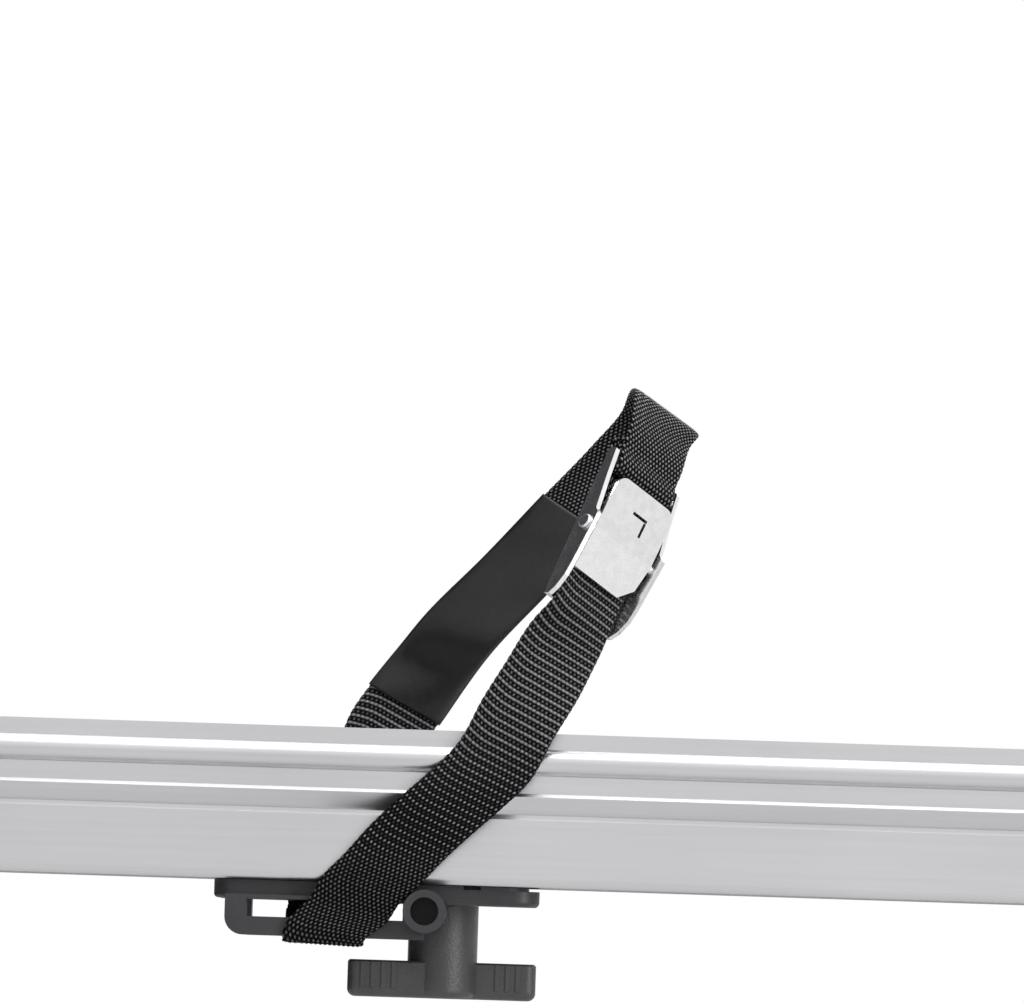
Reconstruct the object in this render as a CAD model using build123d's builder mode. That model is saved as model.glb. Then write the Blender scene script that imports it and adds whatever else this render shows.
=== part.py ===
from build123d import *

import os
from math import asin, cos, degrees, radians, sin, sqrt

# A platform carrier that carries two bicycles on a tow ball. All sizes are in millimetres.
# The origin is the centre of the tow ball. X runs across the car, Y away from it and Z up.

os.makedirs("parts", exist_ok=True)

# Clearances shared by all pieces
run_gap = 0.05      # on the radius of a pin that turns in its hole
slide_gap = 0.15    # between pieces that slide past each other
side_gap = 0.4      # beside a piece that swings between two walls
soft_gap = 0.3      # between webbing or its sleeve and what it passes

# Tow ball and coupling housing
ball_d = 50.0
ball_gap = 0.1
cup_wall = 10.0
cup_rim_drop = 6.0        # rim of the cup below the middle of the ball
tail_half = 28.0
tail_top = 32.0
tail_end = 96.0
tail_corner_r = 6.0
ear_t = 7.0
ear_r = 11.0

# Coupling jaw and its pin
jaw_width = 25.0
jaw_slot_start = 12.5     # the slot for the jaw begins this far behind the middle of the ball
jaw_pin_y = 45.0
jaw_pin_z = 4.0
jaw_pin_r = 5.0
jaw_boss_r = 9.0
jaw_tip_y = 18.0          # lowest point of the claw under the ball
jaw_tip_depth = 27.0
jaw_face_top = 7.5        # upper and lower ends of the face that grips the ball
jaw_face_bottom = 20.0
jaw_heel_y = 37.0
jaw_slot_top = 15.0
jaw_slot_end = 60.0

# Coupling lever, its pin and grip
lever_width = 20.0
lever_pin_y = 52.0
lever_pin_z = 46.0
lever_pin_r = 5.0
lever_hub_r = 9.5
lever_bar_t = 10.0
lever_reach = 128.0
lever_lift = 6.0          # rise of the grip end above the pin
grip_length = 66.0
grip_wall = 3.5

# Chassis: a folded steel channel bolted behind the coupling
chassis_wall = 5.0
chassis_start = 40.0
chassis_web_start = 68.0
chassis_top = 34.0
axle_y = 130.0
axle_z = 12.0
axle_r = 8.0
axle_head_r = 12.0
axle_head_t = 4.0
chassis_end_r = 22.0      # the rear of each wall is an arc about the axle

# Platform: two long beams, two cross tubes, lugs on the axle
beam_x = 100.0
beam_width = 25.0
beam_height = 40.0
beam_wall = 2.5
beam_top = 90.0
beam_start = 20.0
beam_end = 480.0
cross_depth = 30.0
cross_front_y = 158.0
cross_rear_y = 430.0
lug_t = 6.0
lug_r = 17.0
saddle_t = 3.0            # raises the outer rail
saddle_length = 60.0

# Mast brackets, mast and its bolts
mast_y = 45.0
mast_pivot_z = 150.0
mast_d = 28.0
mast_wall = 2.0
mast_top_z = 760.0
mast_bend_r = 48.0
mast_foot = 17.0          # tube below the pivot bolt
bracket_t = 4.0
bracket_depth = 36.0
bracket_r = 17.0
mast_bolt_r = 5.0
hex_across = 17.0
hex_t = 6.5
knob_hub_r = 12.0
knob_lobe_r = 6.5
knob_lobes = 5
knob_t = 16.0
knob_boss = 0.9           # radius of the boss under a star knob, as a share of its hub
knob_foot = 0.3           # share of a star knob's height that is boss alone
knob_edge = 1.2

# Arms that reach from the mast to the bicycle frames, and their claws
arm_d = 22.0
arm_wall = 1.8
short_arm_x = -32.0
long_arm_x = 32.0
socket_wall = 4.0
socket_half = 22.0
socket_end = 3.0
collar_wall = 5.0
collar_width = 34.0
claw_bore_r = 18.0
claw_wall = 7.0
claw_width = 32.0
claw_hinge_r = 6.0
claw_pin_r = 3.0
claw_lip = 20.0
claw_gap = 2.0            # between the two lips when closed
claw_bolt_r = 3.0
claw_bolt_out = 13.0      # from the ring to the clamp bolt
claw_sink = 3.0           # how far the ring is moulded into the socket
claw_knob_hub_r = 8.0
claw_knob_lobe_r = 4.5
claw_knob_t = 13.0
claw_knuckle = 12.0

# Wheel rails: one aluminium extrusion, two lengths of it
rail_length = 1380.0
near_rail_y = 150.0
far_rail_y = 350.0
rail_height = 38.0
rail_half = 40.0          # half width over the bead and the ledge
rail_body_half = 36.5
rail_wall = 1.8
rail_foot_r = 2.0
rail_floor = 7.0          # top of the channel floor
rail_floor_half = 24.0
rail_throat_half = 35.6   # inside, where the sloping wall ends
rail_throat_z = 23.0
rail_face_top = 16.6      # top of the flat side face
rail_neck = 0.5           # how far the side steps in above it
rail_neck_z = 17.8
rail_ledge_z = 22.2
rail_ledge_t = 0.8
rail_groove = 3.0         # depth of the groove between ledge and bead
rail_bead_r = 3.3
rail_bead_z = 30.8
rail_lip_wall = 1.4       # wall above the bead
slot_mouth = 8.6
slot_width = 17.0
slot_roof = 5.3
end_cap_t = 3.0
rail_bolt_r = 1.95        # four thread-forming screws hold each rail to each beam
rail_bolt_spacing = 32.0
rail_bolt_pitch = 12.0    # between the two rows, along the rail
rail_bolt_head_r = 3.8
rail_bolt_head_t = 2.4

# Strap holder: moulded plate under the rail, with a bail at each side
plate_left = 56.9
plate_right = 23.7
plate_half = 30.0
plate_t = 4.6             # with the pad on top of it
plate_corner_r = 6.0
plate_edge_r = 1.0
pad_t = 0.85
pad_inset = 2.6           # bare strip of the plate to the right of the pad
pad_notch_u = 7.0
pad_notch_width = 4.3
pad_notch_depth = 6.0
guide_height = 1.2
guide_length = 44.0
bail_left = 53.9
bail_wall = 5.3
bail_inner = 22.0
bail_outer = 34.0
bail_window = 4.45
bail_bar_t = 4.6
bail_corner_r = 4.5
tube_u = -4.6
tube_w = -6.7
tube_d = 10.7
tube_bore = 6.95
tube_front = 41.0
tube_depth = 15.0         # each tube stub is blind

# T-bolt and wing knob
t_head_length = 12.0
t_head_t = 3.2
t_bolt_r = 3.0
t_bolt_length = 25.0
knob_neck_r = 8.7
wing_top = 19.0
wing_bottom = 28.2
wing_reach = 23.5
wing_t = 9.2
wing_face = 7.6           # the leading face of each wing, before the middle of the knob
wing_corner_r = 2.5
wing_edge_r = 2.0
wing_rib_first = 11.9     # ribs on the leading face of a wing
wing_rib_count = 4
wing_back_first = 13.9    # ribs on its other face
wing_back_count = 3
wing_rib_pitch = 2.575
wing_rib_width = 1.1
wing_rib_depth = 0.45
wing_rib_foot = 2.2       # smooth band below the ribs

# Webbing strap, its sleeve and its cam buckle
strap_width = 20.0
strap_t = 1.4
sleeve_wall = 0.5
sleeve_gap = 0.15         # between the sleeve and the webbing in it
sleeve_rows = 4           # rows of the rear run that carry the sleeve
buckle_u = 37.5
buckle_w = 85.0
buckle_lean = 13.6        # its middle lies this far inside the flange line
buckle_out = 1.0          # how far the base plate stands out from that point
buckle_gap = 0.15         # between the buckle and the webbing
buckle_inner = 21.0
buckle_sheet = 1.2
buckle_reach = 19.9       # from the middle to the lower end
buckle_plate_top = 13.5
finger_end = 21.7         # the cheeks end in fingers that carry the bar
cheek_flare = 8.0         # degrees that the cheeks lean outwards
cheek_height = 7.2        # at the ear over the pin
cheek_shoulder = 5.4
cheek_tip = 2.4
cheek_ear_y = 2.6
buckle_bar_r = 1.3
buckle_bar_y = 18.8
buckle_bar_z = 0.9
cam_pin_r = 1.2
cam_pin_z = 3.55
cam_head_r = 1.9
cam_head_t = 0.6
cam_r = 1.65
cam_tooth = 0.25
cam_tooth_count = 6
cam_lever_width = 20.6
cam_lever_t = 1.1
cam_lever_top = 15.0
cam_lever_bottom = 11.0
cam_lever_thumb_z = 6.1   # heights of the upper face: thumb end, over the pin, lower end
cam_lever_bend_z = 5.4
cam_lever_foot_z = 3.1
cam_lever_corner_r = 2.9
cam_slot_width = 0.8
cam_slot_y = 8.7
cam_slot_length = 5.0

# Rear light board
board_half = 515.0
board_front = 486.0
board_t = 12.0
board_top = 42.0
board_bottom = -70.0
board_skin = 3.0
plate_recess_half = 262.0
plate_recess_height = 112.0
plate_recess_depth = 1.5
lamp_width = 200.0
lamp_height = 96.0
lamp_depth = 34.0
lamp_wall = 3.0
lamp_centre_x = 400.0
lens_t = 3.0
number_bolt_spacing = 480.0
number_bolt_r = 2.5

# Foot pedal that frees the tilt
pedal_pin_y = 178.0
pedal_pin_z = 32.0
pedal_pin_r = 5.0
pedal_width = 24.0
pedal_t = 9.0
pedal_end_y = 540.0
pedal_end_z = -92.0
pedal_pad_length = 62.0
pedal_ear_t = 5.0
pedal_hook_end = 126.0
latch_bar_r = 5.0
latch_bar_y = 138.0

# Where the four wheel holders stand, each from the nearer end of its rail
near_right_inset = 390.0
near_left_inset = 390.0
far_right_inset = 73.0
far_left_inset = 267.0

# Sizes that follow from those above
ball_r = ball_d / 2
cup_bore_r = ball_r + ball_gap
cup_r = cup_bore_r + cup_wall
near_right_x = rail_length / 2 - near_right_inset
near_left_x = near_left_inset - rail_length / 2
far_right_x = rail_length / 2 - far_right_inset
far_left_x = far_left_inset - rail_length / 2
near_rail_z = beam_top
far_rail_z = beam_top + saddle_t
lug_inner = tail_half + chassis_wall + side_gap
beam_bottom = beam_top - beam_height
mast_r = mast_d / 2
bracket_inner = mast_r + slide_gap
claw_outer_r = claw_bore_r + claw_wall


def save(piece, name):
    """Name a finished piece and write it to its own file."""
    piece.label = name
    export_step(piece, f"parts/{name}.step")


def across(y):
    """A plane that stands across the carrier at this distance behind the ball, facing the car, with Z up."""
    return Plane.XZ.offset(-y)


def cup_outline():
    """Half section of the cup: a round wall over the ball that ends below its middle."""
    rim_x = sqrt(cup_bore_r**2 - cup_rim_drop**2)
    start = -degrees(asin(cup_rim_drop / cup_bore_r))
    with BuildSketch(Plane.XZ) as outline:
        with BuildLine():
            CenterArc((0, 0), cup_r, 0, 90)
            Line((cup_r, 0), (cup_r, -cup_rim_drop))
            Line((cup_r, -cup_rim_drop), (rim_x, -cup_rim_drop))
            CenterArc((0, 0), cup_bore_r, start, 90 - start)
            Line((0, cup_bore_r), (0, cup_r))
        make_face()
    return outline.sketch


# Coupling housing: a cast cup over the ball, with a tail that holds the jaw and lever
lever_slot_half = lever_width / 2 + side_gap
with BuildPart() as coupling_body:
    with BuildSketch(across(ball_r)) as tail_profile:
        with Locations((0, (tail_top - cup_rim_drop) / 2)):
            RectangleRounded(2 * tail_half, tail_top + cup_rim_drop, tail_corner_r)
    extrude(amount=-(tail_end - ball_r))
    revolve(cup_outline(), axis=Axis.Z)
    Sphere(cup_bore_r, mode=Mode.SUBTRACT)
    with BuildSketch(Plane.XY.offset(-cup_rim_drop)):
        Circle(sqrt(cup_bore_r**2 - cup_rim_drop**2))
    extrude(amount=cup_rim_drop, mode=Mode.SUBTRACT)
    with BuildSketch(Plane.YZ.offset(-lever_slot_half - ear_t)) as ear_profile:
        with Locations((lever_pin_y, lever_pin_z)):
            Circle(ear_r)
        with Locations((lever_pin_y, (lever_pin_z + tail_top) / 2 - 1)):
            Rectangle(2 * ear_r, lever_pin_z - tail_top + 2)
    extrude(amount=ear_t)
    extrude(ear_profile.sketch.moved(Location((2 * lever_slot_half + ear_t, 0, 0))), amount=ear_t)
    with BuildSketch(Plane.YZ.offset(-jaw_width / 2 - side_gap)):
        with Locations(((jaw_slot_start + jaw_slot_end) / 2, (jaw_slot_top - 2 * cup_r) / 2)):
            Rectangle(jaw_slot_end - jaw_slot_start, jaw_slot_top + 2 * cup_r)
    extrude(amount=jaw_width + 2 * side_gap, mode=Mode.SUBTRACT)
    with BuildSketch(Plane.YZ.offset(-2 * tail_half)):
        with Locations((jaw_pin_y, jaw_pin_z)):
            Circle(jaw_pin_r)
        with Locations((lever_pin_y, lever_pin_z)):
            Circle(lever_pin_r)
    extrude(amount=4 * tail_half, mode=Mode.SUBTRACT)
save(coupling_body.part, "coupling_body")

# Jaw: closes under the rear of the ball and swings back about its pin
with BuildPart() as coupling_jaw:
    with BuildSketch(Plane.YZ.offset(-jaw_width / 2)):
        with BuildLine():
            Polyline(
                (jaw_slot_start + side_gap, -jaw_face_bottom),
                (jaw_tip_y, -jaw_tip_depth),
                (jaw_heel_y, -jaw_tip_depth / 2),
                (jaw_pin_y + jaw_boss_r * cos(radians(40)), jaw_pin_z - jaw_boss_r * sin(radians(40))),
                (jaw_pin_y, jaw_pin_z + jaw_boss_r),
                (jaw_pin_y - jaw_boss_r, jaw_pin_z),
                (jaw_slot_start + side_gap, -jaw_face_top),
                close=True,
            )
        make_face()
        with Locations((jaw_pin_y, jaw_pin_z)):
            Circle(jaw_boss_r)
            Circle(jaw_pin_r + run_gap, mode=Mode.SUBTRACT)
    extrude(amount=jaw_width)
    Sphere(cup_bore_r, mode=Mode.SUBTRACT)
save(coupling_jaw.part, "coupling_jaw")

# Lever: a forged bar that lies over the cup when the jaw is locked
with BuildPart() as coupling_lever:
    with BuildSketch(Plane.YZ.offset(-lever_width / 2)):
        with Locations((lever_pin_y, lever_pin_z)):
            Circle(lever_hub_r)
        with BuildLine():
            Polyline(
                (lever_pin_y, lever_pin_z + lever_hub_r),
                (lever_pin_y - lever_reach, lever_pin_z + lever_lift + lever_bar_t / 2),
                (lever_pin_y - lever_reach, lever_pin_z + lever_lift - lever_bar_t / 2),
                (0, lever_pin_z - lever_bar_t / 2 + lever_lift / 2),
                (lever_pin_y, lever_pin_z - lever_hub_r / 2),
                close=True,
            )
        make_face()
        with Locations((lever_pin_y, lever_pin_z)):
            Circle(lever_pin_r + run_gap, mode=Mode.SUBTRACT)
    extrude(amount=lever_width)
save(coupling_lever.part, "coupling_lever")

# Rubber grip pushed over the end of the lever
with BuildPart() as lever_grip:
    grip_y = lever_pin_y - lever_reach + (grip_length - 2 * grip_wall) / 2
    with BuildSketch(across(grip_y - grip_length / 2 - grip_wall)):
        with Locations((0, lever_pin_z + lever_lift)):
            RectangleRounded(lever_width + 2 * grip_wall, lever_bar_t + 3 * grip_wall, 2 * grip_wall)
    extrude(amount=-grip_length)
    fillet(lever_grip.edges().group_by(Axis.Y)[0], grip_wall * 0.8)
    add(coupling_lever.part, mode=Mode.SUBTRACT)
save(lever_grip.part, "lever_grip")

# Pins of the jaw and the lever, with a head at each end of the lever's
with BuildPart() as coupling_pins:
    with BuildSketch(Plane.YZ.offset(-tail_half)):
        with Locations((jaw_pin_y, jaw_pin_z)):
            Circle(jaw_pin_r)
    extrude(amount=2 * tail_half)
    with BuildSketch(Plane.YZ.offset(-lever_slot_half - ear_t)):
        with Locations((lever_pin_y, lever_pin_z)):
            Circle(lever_pin_r)
    extrude(amount=2 * (lever_slot_half + ear_t))
    with BuildSketch(Plane.YZ.offset(lever_slot_half + ear_t)):
        with Locations((lever_pin_y, lever_pin_z)):
            Circle(lever_pin_r * 1.5)
    extrude(amount=axle_head_t)
    mirror(about=Plane.YZ)
save(coupling_pins.part, "coupling_pins")

# Chassis: a channel folded from plate, whose rear ends are arcs about the tilt axle, with a latch bar
with BuildPart() as base_chassis:
    with BuildSketch(Plane.YZ.offset(tail_half)) as chassis_side:
        with BuildLine():
            Polyline(
                (chassis_start, -cup_rim_drop),
                (chassis_start, tail_top - tail_corner_r),
                (chassis_start + 2 * tail_corner_r, chassis_top),
                (axle_y, chassis_top),
                (axle_y, -cup_rim_drop - chassis_wall),
                (chassis_web_start, -cup_rim_drop - chassis_wall),
                close=True,
            )
        make_face()
        with Locations((axle_y, axle_z)):
            Circle(chassis_end_r)
            Circle(axle_r, mode=Mode.SUBTRACT)
    extrude(amount=chassis_wall)
    mirror(about=Plane.YZ)
    with BuildSketch(Plane.XY.offset(-cup_rim_drop - chassis_wall)):
        with Locations((0, (chassis_web_start + axle_y) / 2)):
            Rectangle(2 * tail_half, axle_y - chassis_web_start)
    extrude(amount=chassis_wall)
    bar_rise = sqrt((chassis_end_r - latch_bar_r) ** 2 - (latch_bar_y - axle_y) ** 2)
    with BuildSketch(Plane.YZ.offset(-tail_half)):
        with Locations((latch_bar_y, axle_z + bar_rise)):
            Circle(latch_bar_r)
    extrude(amount=2 * tail_half)
save(base_chassis.part, "base_chassis")

# Axle that the platform tilts about, headed at both ends
axle_half = lug_inner + lug_t + slide_gap
with BuildPart() as tilt_axle:
    with BuildSketch(Plane.YZ.offset(-axle_half)):
        with Locations((axle_y, axle_z)):
            Circle(axle_r)
    extrude(amount=2 * axle_half)
    with BuildSketch(Plane.YZ.offset(axle_half)):
        with Locations((axle_y, axle_z)):
            Circle(axle_head_r)
    extrude(amount=axle_head_t)
    mirror(about=Plane.YZ)
    chamfer(tilt_axle.edges().group_by(Axis.X)[0], 1)
    chamfer(tilt_axle.edges().group_by(Axis.X)[-1], 1)
save(tilt_axle.part, "tilt_axle")


def bracket_side(x):
    """One standing wall of a mast bracket, rounded about the pivot bolt, with its foot at the beam's top."""
    with BuildPart() as side:
        with BuildSketch(Plane.YZ.offset(x)):
            with Locations((mast_y, mast_pivot_z)):
                Circle(bracket_r)
            with BuildLine():
                Polyline(
                    (mast_y - bracket_r, mast_pivot_z),
                    (mast_y + bracket_r, mast_pivot_z),
                    (mast_y + bracket_depth / 2 + 4, beam_top),
                    (mast_y - bracket_depth / 2 - 4, beam_top),
                    close=True,
                )
            make_face()
            with Locations((mast_y, mast_pivot_z)):
                Circle(mast_bolt_r, mode=Mode.SUBTRACT)
        extrude(amount=bracket_t)
    return side.part


# Platform frame: the welded carrier of the rails, mast and light board
pedal_ear_inner = pedal_width / 2 + side_gap
with BuildPart() as platform_frame:
    with BuildSketch(across(beam_start)):
        for beam_side in (-1, 1):
            with Locations((beam_side * beam_x, beam_top - beam_height / 2)):
                Rectangle(beam_width, beam_height)
                Rectangle(beam_width - 2 * beam_wall, beam_height - 2 * beam_wall, mode=Mode.SUBTRACT)
    extrude(amount=-(beam_end - beam_start))
    with BuildSketch(Plane.YZ.offset(-beam_x + beam_width / 2)):
        for cross_y in (cross_front_y, cross_rear_y):
            with Locations((cross_y + cross_depth / 2, beam_top - beam_height / 2)):
                Rectangle(cross_depth, beam_height)
                Rectangle(cross_depth - 2 * beam_wall, beam_height - 2 * beam_wall, mode=Mode.SUBTRACT)
    extrude(amount=2 * beam_x - beam_width)
    with BuildSketch(Plane.YZ.offset(lug_inner)) as lug_profile:
        with Locations((axle_y, axle_z)):
            Circle(lug_r)
        with BuildLine():
            Polyline(
                (axle_y - lug_r * 0.94, axle_z + lug_r * 0.34),
                (cross_front_y, beam_top - beam_wall),
                (cross_front_y, beam_bottom),
                (axle_y + lug_r * 0.8, axle_z - lug_r * 0.6),
                close=True,
            )
        make_face()
        with Locations((axle_y, axle_z)):
            Circle(axle_r + run_gap, mode=Mode.SUBTRACT)
    extrude(amount=lug_t)
    extrude(lug_profile.sketch.moved(Location((-2 * lug_inner - lug_t, 0, 0))), amount=lug_t)
    for beam_side in (-1, 1):
        add(bracket_side(beam_side * beam_x + bracket_inner))
        add(bracket_side(beam_side * beam_x - bracket_inner - bracket_t))
        with BuildSketch(Plane.XY.offset(beam_top)):
            with Locations((beam_side * beam_x, mast_y)):
                Rectangle(2 * (bracket_inner + bracket_t), bracket_depth + 8)
            with Locations((beam_side * beam_x, far_rail_y)):
                Rectangle(beam_width, saddle_length)
        extrude(amount=saddle_t)
        with BuildSketch(across(beam_end)):
            with Locations((beam_side * beam_x, (beam_top + board_bottom + beam_height) / 2)):
                RectangleRounded(2 * beam_width, beam_top - board_bottom - beam_height, 6)
        extrude(amount=-(board_front - beam_end))
    with BuildSketch(Plane.YZ.offset(pedal_ear_inner)) as pedal_ear:
        with Locations((pedal_pin_y, pedal_pin_z)):
            Circle(2 * pedal_pin_r)
        with Locations((pedal_pin_y, (pedal_pin_z + beam_bottom) / 2)):
            Rectangle(4 * pedal_pin_r, beam_bottom - pedal_pin_z)
    extrude(amount=pedal_ear_t)
    extrude(pedal_ear.sketch.moved(Location((-2 * pedal_ear_inner - pedal_ear_t, 0, 0))), amount=pedal_ear_t)
    with BuildSketch(Plane.YZ.offset(-pedal_ear_inner)):
        with Locations((pedal_pin_y, pedal_pin_z)):
            Circle(pedal_pin_r)
    extrude(amount=2 * pedal_ear_inner)
    with BuildSketch(Plane.XY.offset(beam_top)):
        for rail_y in (near_rail_y, far_rail_y):
            for beam_side in (-1, 1):
                with Locations((beam_side * beam_x, rail_y)):
                    with GridLocations(rail_bolt_pitch, rail_bolt_spacing, 2, 2):
                        Circle(rail_bolt_r)
    extrude(amount=2 * saddle_t, both=True, mode=Mode.SUBTRACT)
save(platform_frame.part, "platform_frame")

# Foot pedal: a flat arm under the platform whose hook lies over the latch bar of the chassis
with BuildPart() as tilt_pedal:
    with BuildSketch(Plane.YZ.offset(-pedal_width / 2)):
        with BuildLine():
            Polyline(
                (pedal_pin_y, pedal_pin_z + pedal_t),
                (pedal_end_y - pedal_pad_length, pedal_end_z + pedal_t),
                (pedal_end_y, pedal_end_z + pedal_t),
                (pedal_end_y, pedal_end_z),
                (pedal_end_y - pedal_pad_length, pedal_end_z),
                (pedal_pin_y, pedal_pin_z - pedal_t),
                (pedal_hook_end, axle_z + chassis_end_r),
                (pedal_hook_end, axle_z + chassis_end_r + pedal_t),
                close=True,
            )
        make_face()
        with Locations((axle_y, axle_z)):
            Circle(chassis_end_r + side_gap, mode=Mode.SUBTRACT)
        with Locations((pedal_pin_y, pedal_pin_z)):
            Circle(pedal_pin_r + run_gap, mode=Mode.SUBTRACT)
    extrude(amount=pedal_width)
    with BuildSketch(Plane.XY.offset(pedal_end_z)):
        with Locations((0, pedal_end_y - pedal_pad_length / 2 + pedal_t)):
            RectangleRounded(3 * pedal_width, pedal_pad_length - 2 * pedal_t, pedal_t)
    extrude(amount=pedal_t)
save(tilt_pedal.part, "tilt_pedal")

# Mast: one tube bent into an arch, cross-drilled at its feet
with BuildPart() as mast_tube:
    foot_z = mast_pivot_z - mast_foot
    with BuildLine() as mast_path:
        FilletPolyline(
            (-beam_x, mast_y, foot_z),
            (-beam_x, mast_y, mast_top_z),
            (beam_x, mast_y, mast_top_z),
            (beam_x, mast_y, foot_z),
            radius=mast_bend_r,
        )
    with BuildSketch(Plane(origin=(-beam_x, mast_y, foot_z), x_dir=(1, 0, 0), z_dir=(0, 0, 1))):
        Circle(mast_r)
        Circle(mast_r - mast_wall, mode=Mode.SUBTRACT)
    sweep()
    with BuildSketch(Plane.YZ.offset(-2 * beam_x)):
        with Locations((mast_y, mast_pivot_z)):
            Circle(mast_bolt_r + run_gap)
    extrude(amount=4 * beam_x, mode=Mode.SUBTRACT)
save(mast_tube.part, "mast_tube")

# Pivot bolts of the mast, each with a hexagon head; the right one ends in the clamp knob
bolt_inner = bracket_inner + bracket_t
with BuildPart() as mast_bolts:
    for beam_side in (-1, 1):
        with BuildSketch(Plane.YZ.offset(beam_side * beam_x - bolt_inner)):
            with Locations((mast_y, mast_pivot_z)):
                Circle(mast_bolt_r)
        extrude(amount=2 * bolt_inner + hex_t)
        with BuildSketch(Plane.YZ.offset(beam_side * beam_x - bolt_inner - hex_t)):
            with Locations((mast_y, mast_pivot_z)):
                RegularPolygon(hex_across / 2, 6, major_radius=False)
        extrude(amount=hex_t)
    with BuildSketch(Plane.YZ.offset(-beam_x + bolt_inner)):
        with Locations((mast_y, mast_pivot_z)):
            RegularPolygon(hex_across / 2, 6, major_radius=False)
    extrude(amount=hex_t)
save(mast_bolts.part, "mast_bolts")


def star_knob(face, hub_r, lobe_r, depth):
    """A lobed clamp knob moulded on a round boss, standing on this plane."""
    with BuildPart() as knob:
        with BuildSketch(face):
            Circle(hub_r * knob_boss)
        extrude(amount=depth)
        with BuildSketch(face.offset(depth * knob_foot)):
            Circle(hub_r + lobe_r / 4)
            with PolarLocations(hub_r, knob_lobes):
                Circle(lobe_r)
        extrude(amount=depth * (1 - knob_foot))
        chamfer(knob.faces().sort_by(Axis(face.origin, face.z_dir))[-1].edges(), knob_edge)
    return knob.part


mast_knob_plane = Plane(
    origin=(beam_x + bolt_inner + slide_gap, mast_y, mast_pivot_z),
    x_dir=(0, 1, 0),
    z_dir=(1, 0, 0),
)
with BuildPart() as mast_lock_knob:
    add(star_knob(mast_knob_plane, knob_hub_r, knob_lobe_r, knob_t))
    with BuildSketch(mast_knob_plane):
        Circle(mast_bolt_r + run_gap)
    extrude(amount=hex_t + slide_gap, mode=Mode.SUBTRACT)
save(mast_lock_knob.part, "mast_lock_knob")


def holding_arm(x, rail_y):
    """A collar round the top bar of the mast with a tube that reaches over one rail."""
    with BuildPart() as arm:
        with BuildSketch(across(mast_y + mast_r)):
            with Locations((x, mast_top_z)):
                Circle(arm_d / 2)
        extrude(amount=-(rail_y + socket_half - socket_end - mast_y - mast_r))
        with BuildSketch(Plane.YZ.offset(x - collar_width / 2)):
            with Locations((mast_y, mast_top_z)):
                Circle(mast_r + slide_gap + collar_wall)
        extrude(amount=collar_width)
        with BuildSketch(across(mast_y + mast_r + 2 * collar_wall)):
            with Locations((x, mast_top_z)):
                Circle(arm_d / 2 - arm_wall)
        extrude(amount=-(rail_y + socket_half), mode=Mode.SUBTRACT)
        with BuildSketch(Plane.YZ.offset(x - collar_width / 2)):
            with Locations((mast_y, mast_top_z)):
                Circle(mast_r + slide_gap)
        extrude(amount=collar_width, mode=Mode.SUBTRACT)
    return arm.part


claw_rise = arm_d / 2 + socket_wall + claw_outer_r - claw_sink
claw_hinge_out = claw_outer_r + claw_hinge_r / 2
claw_bolt_at = claw_outer_r + claw_bolt_out
claw_lip_end = claw_outer_r + claw_lip


def claw_plane(x, rail_y):
    """The plane of a claw's bore, with its origin on the axis of the bicycle's tube, Y to the right and Z up."""
    return Plane(origin=(x, rail_y, mast_top_z + claw_rise), x_dir=(0, 1, 0), z_dir=(1, 0, 0))


def claw_half(middle, way):
    """Profile of half a claw, below the bore for way -1 and above it for way 1: half a ring with a lip."""
    with BuildSketch(middle) as half:
        Circle(claw_outer_r)
        with Locations(((claw_bore_r + claw_lip_end) / 2, way * (claw_gap + claw_wall) / 2)):
            Rectangle(claw_lip_end - claw_bore_r, claw_wall)
        with Locations((-claw_hinge_out / 2 - claw_bore_r / 2, way * (claw_gap + claw_wall) / 2)):
            Rectangle(claw_hinge_out - claw_bore_r, claw_wall)
        with Locations((0, -way * (2 * claw_outer_r - claw_gap / 2))):
            Rectangle(6 * claw_outer_r, 4 * claw_outer_r, mode=Mode.SUBTRACT)
        Circle(claw_bore_r, mode=Mode.SUBTRACT)
    return half.sketch


def fixed_claw(x, rail_y):
    """The lower claw: a socket on the end of the arm, half a ring, the hinge knuckle with its pin and a slotted lip."""
    middle = claw_plane(x, rail_y)
    with BuildPart() as claw:
        extrude(claw_half(middle.offset(-claw_width / 2), -1), amount=claw_width)
        with BuildSketch(across(rail_y - socket_half)):
            with Locations((x, mast_top_z)):
                Circle(arm_d / 2 + socket_wall)
        extrude(amount=-2 * socket_half)
        with BuildSketch(across(rail_y - socket_half)):
            with Locations((x, mast_top_z)):
                Circle(arm_d / 2)
        extrude(amount=-(2 * socket_half - socket_end), mode=Mode.SUBTRACT)
        with BuildSketch(middle.offset(-claw_width / 2)):
            with Locations((-claw_hinge_out, 0)):
                Circle(claw_hinge_r + side_gap)
        extrude(amount=claw_width, mode=Mode.SUBTRACT)
        with BuildSketch(middle.offset(-claw_knuckle / 2)):
            with Locations((-claw_hinge_out, 0)):
                Circle(claw_hinge_r)
            with Locations((-claw_hinge_out + claw_hinge_r * 0.6, -claw_hinge_r)):
                Rectangle(claw_hinge_r * 1.2, claw_hinge_r)
        extrude(amount=claw_knuckle)
        with BuildSketch(middle.offset(-claw_width / 2)):
            with Locations((-claw_hinge_out, 0)):
                Circle(claw_pin_r)
        extrude(amount=claw_width)
        with BuildSketch(Plane(middle.origin, x_dir=(0, 1, 0), z_dir=(0, 0, -1))):
            with Locations((claw_bolt_at + claw_lip, 0)):
                Rectangle(2 * claw_lip + 2 * claw_bolt_r + 2 * side_gap, 2 * claw_bolt_r + 2 * side_gap)
        extrude(amount=2 * claw_wall, mode=Mode.SUBTRACT)
    return claw.part


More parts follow.
